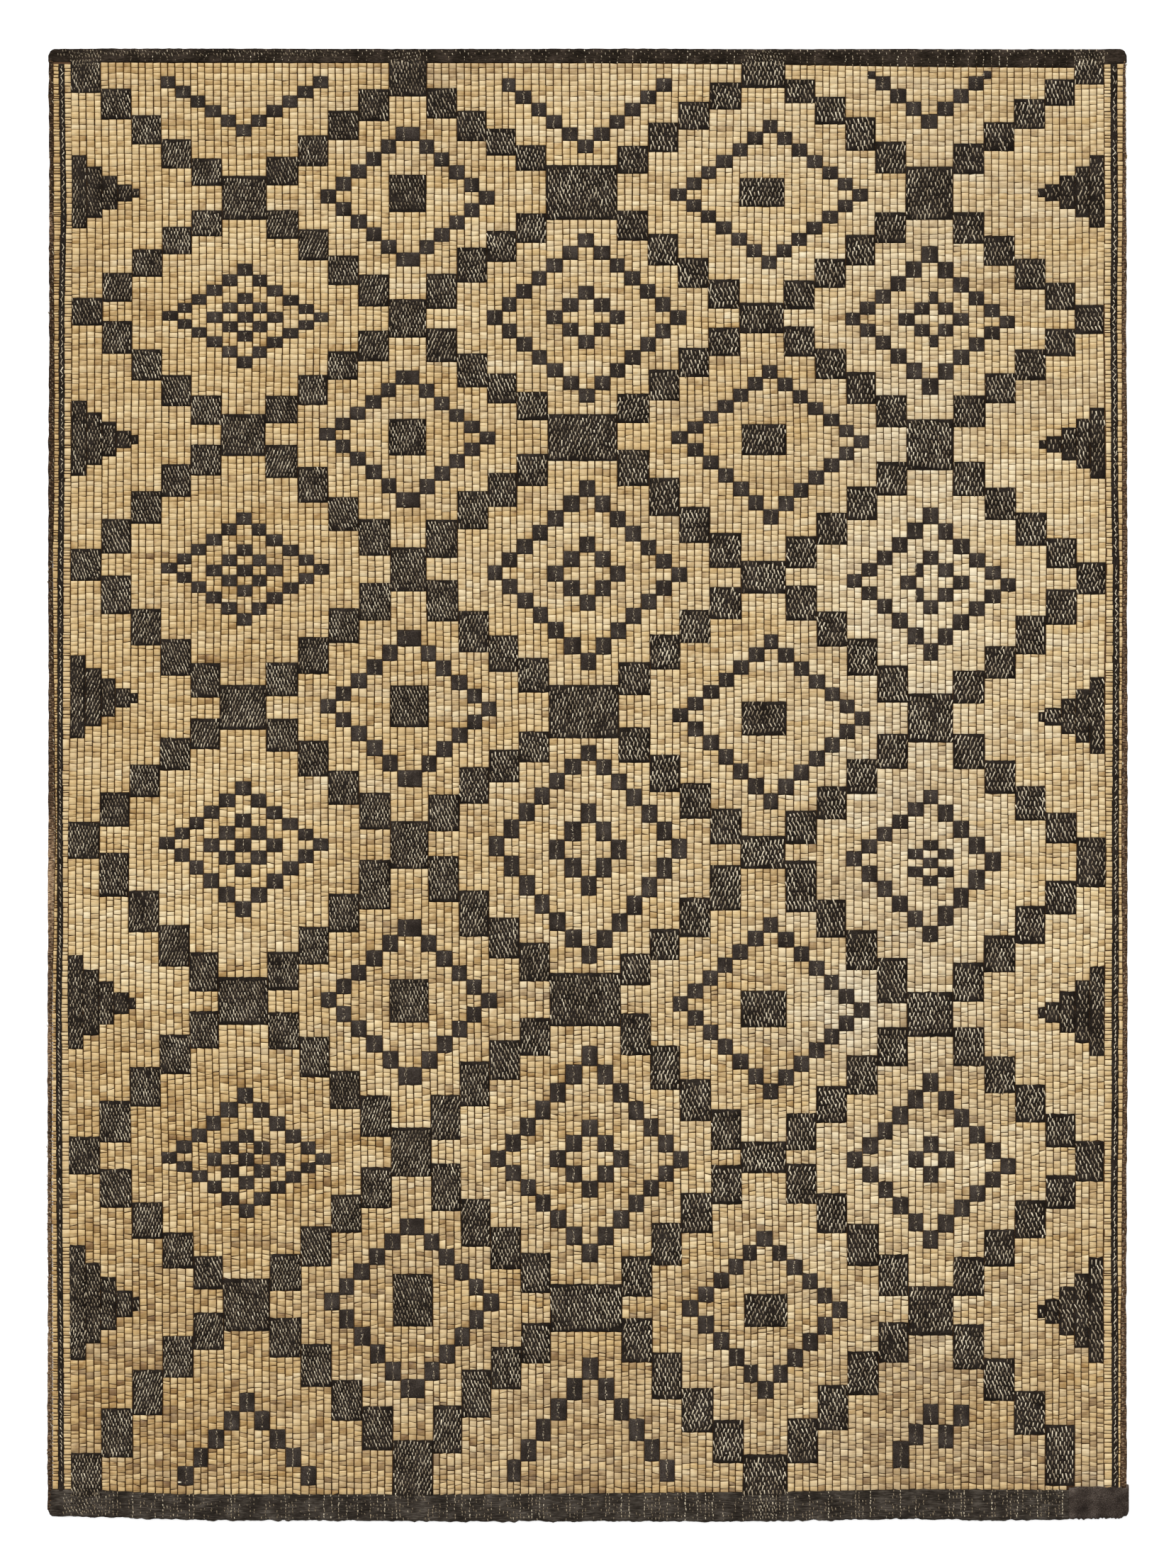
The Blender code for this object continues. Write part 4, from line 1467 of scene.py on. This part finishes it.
# %% Twisted side cords
CORD_PITCH = 9.0
CORD_STATIONS = 900
CORD_SIDES = 8
CORD_LOBE = 0.14
CORD_MIDDLE = 4.6
CORD_RISE = 1.05


def twisted_cord(side, half_width):
    """A flat oval tube whose outline has two lobes that turn once in each pitch, like two strands."""
    down = np.linspace(91.0, 2103.0, CORD_STATIONS)[:, None]
    turn = np.linspace(0, 2 * np.pi, CORD_SIDES, endpoint=False)[None, :]
    lobe = 1 + CORD_LOBE * np.cos(2 * (turn - np.pi * down / CORD_PITCH))
    middle = read_at(SELVEDGES, f"{side}_cord", down)
    points = to_mat(middle + half_width * lobe * np.cos(turn), down,
                    CORD_MIDDLE + CORD_RISE * lobe * np.sin(turn))
    number = np.arange(points.shape[0] * points.shape[1]).reshape(points.shape[:2])
    after = np.roll(number, -1, axis=1)
    sides = np.stack((number[:-1], number[1:], after[1:], after[:-1]), axis=-1).reshape(-1, 4)
    ends = np.concatenate((points.reshape(-1, 3), points[[0, -1]].mean(axis=1)))
    first = len(ends) - 2
    caps = np.concatenate((np.stack((number[0], after[0], np.full(CORD_SIDES, first)), axis=-1),
                           np.stack((after[-1], number[-1], np.full(CORD_SIDES, first + 1)), axis=-1)))
    triangles = np.concatenate((sides[:, (0, 1, 2)], sides[:, (0, 2, 3)], caps))
    return add_piece(f"{side}_cord_leather", ends, triangles, "leather", block_leather)


twisted_cord("left", LEFT_CORD_HALF)
twisted_cord("right", RIGHT_CORD_HALF)

# %% [markdown]
# ## Stitches on cords, bindings and bands
# The same pale flecks mark the twists of the cords and the whipping of the bindings. On the two bands they
# stand in dotted columns, one or two to a thong, some bright and most of them faint, and they are dense
# where a crossing of the lattice runs into a band.

# %% Stitches of the cords and bindings
STITCH_PITCH = 5.6
WHIPPING_PITCH = 6.8


def stitches(across, down, length, width, lean, tone, jitter=0.4):
    """Rows for fleck_mesh from arrays or single values, with some unevenness in every value."""
    values = np.broadcast_arrays(across, down, length, width, lean, tone)
    rows = np.stack([value.astype(float).ravel() for value in values], axis=1)
    spread = np.array([jitter, jitter, 0.18 * np.mean(length), 0.15 * np.mean(width), 0.15, 0.16])
    return rows + spread * RANDOM.standard_normal(rows.shape)


cord_down = np.arange(95, 2099, STITCH_PITCH)
left_cord = read_at(SELVEDGES, "left_cord", cord_down)
right_cord = read_at(SELVEDGES, "right_cord", cord_down)
zigzag = np.where(np.arange(len(cord_down)) % 2, 1.0, -1.0)
left_lean = np.where(cord_down < 1000, 0.42 * zigzag, 0.30 + 0.12 * zigzag)
right_lean = np.where(cord_down < 1100, 0.45 * zigzag, -0.25 + 0.25 * zigzag)
cord_stitches = np.concatenate((
    stitches(left_cord + 0.3, cord_down, 5.8, 1.3, left_lean, 0.70, 0.3),
    stitches(right_cord, cord_down, 6.2, 1.3, right_lean, 0.88, 0.3),
    stitches(right_cord[1::3] + 2.2, cord_down[1::3], 4.5, 1.0, -0.3, 0.5, 0.5)))
cord_stitches = cord_stitches[RANDOM.random(len(cord_stitches)) < 0.92]

rim_down = np.arange(92, 2090, WHIPPING_PITCH)
left_binding = read_at(SELVEDGES, "left_binding", rim_down)
right_binding = read_at(SELVEDGES, "right_binding", rim_down)
rim_stitches = np.concatenate((
    stitches(left_binding - 2.0, rim_down, 4.6, 1.2, 0.5, 0.45, 0.8),
    stitches(left_binding - 5.0, rim_down + 3, 3.6, 1.1, 0.3, 0.30, 0.8),
    stitches(right_binding + 3.0, rim_down, 4.4, 1.2, -0.3, 0.60, 0.8)))
rim_stitches = rim_stitches[(rim_stitches[:, 5] > 0.2) & (RANDOM.random(len(rim_stitches)) < 0.8)]
for name, rows, foot, rise in (("cord_stitches", cord_stitches, 5.45, 0.55),
                               ("binding_stitches", rim_stitches, 5.35, 0.75)):
    points, faces, tone = fleck_mesh(rows, foot, rise)
    add_piece(name, points, faces, "reed", fleck_material, tone=tone)

# %% Flecks of the bands
LAST_FOOT_THONG = 1504
HEAD_RIM_FLECKS = ((0.0, 73.2), (5.3, 76.6))
# Each dense place: left, right, top and end in mm, and the tone of its flecks.
DENSE_PLACES = (
    (101, 141, 73, 92, 0.60), (552, 594, 73, 92, 0.60), (1048, 1106, 74, 94, 0.62),
    (1516, 1558, 74, 92, 0.62), (90, 142, 2106, 2136, 0.62), (1062, 1096, 2110, 2143, 0.66),
    (80, 300, 72, 80, 0.40), (300, 480, 73, 80, 0.34), (559, 600, 2108, 2116, 0.55),
    (1474, 1497, 2098, 2110, 0.50),
)
head_thongs = thong_across[0, 1:-1]
foot_thongs = thong_across[-1, 1:-1]
foot_thongs = foot_thongs[foot_thongs <= LAST_FOOT_THONG]
band_rows = []
for thong, inner in zip(head_thongs, read_at(FIELD_ENDS, "head", head_thongs)):
    bright = RANDOM.random() ** 2.2
    for offset, place in HEAD_RIM_FLECKS:
        band_rows.append((thong + offset, place, 3.2, 1.2, 0.15, 0.42 + 0.25 * bright))
    for place in np.arange(81.5, inner - 1.5, 3.6):
        band_rows.append((thong, place, 2.8, 1.1, 0.0, 0.22 + 0.5 * bright))
for thong, inner, rim in zip(foot_thongs, read_at(FIELD_ENDS, "foot", foot_thongs),
                             read_at(BAND_OUTER, "foot", foot_thongs)):
    for offset, faintness in ((0.0, 2.0), (4.9, 5.0)):
        bright = RANDOM.random() ** faintness
        start = inner + 2 + 14 * RANDOM.random() * (bright < 0.4)
        for place in np.arange(start, rim - 3, 4.4):
            band_rows.append((thong + offset, place, 3.6, 1.2, 0.08, 0.16 + 0.62 * bright))
band_rows = stitches(*np.array(band_rows).T, jitter=0.5)
dense = [fleck_rows(*place, FLECK_LEAN) for *place, _ in DENSE_PLACES]
for rows, (*_, tone) in zip(dense, DENSE_PLACES):
    rows[:, 5] = tone + 0.15 * RANDOM.standard_normal(len(rows))
    rows[:, 2:4] *= 0.8
band_rows = np.concatenate([band_rows[band_rows[:, 5] > 0.24]] + dense)
points, faces, tone = fleck_mesh(band_rows, foot=5.6, rise=0.62)
add_piece("band_flecks", points, faces, "reed", fleck_material, tone=tone)
print("band flecks:", len(band_rows))
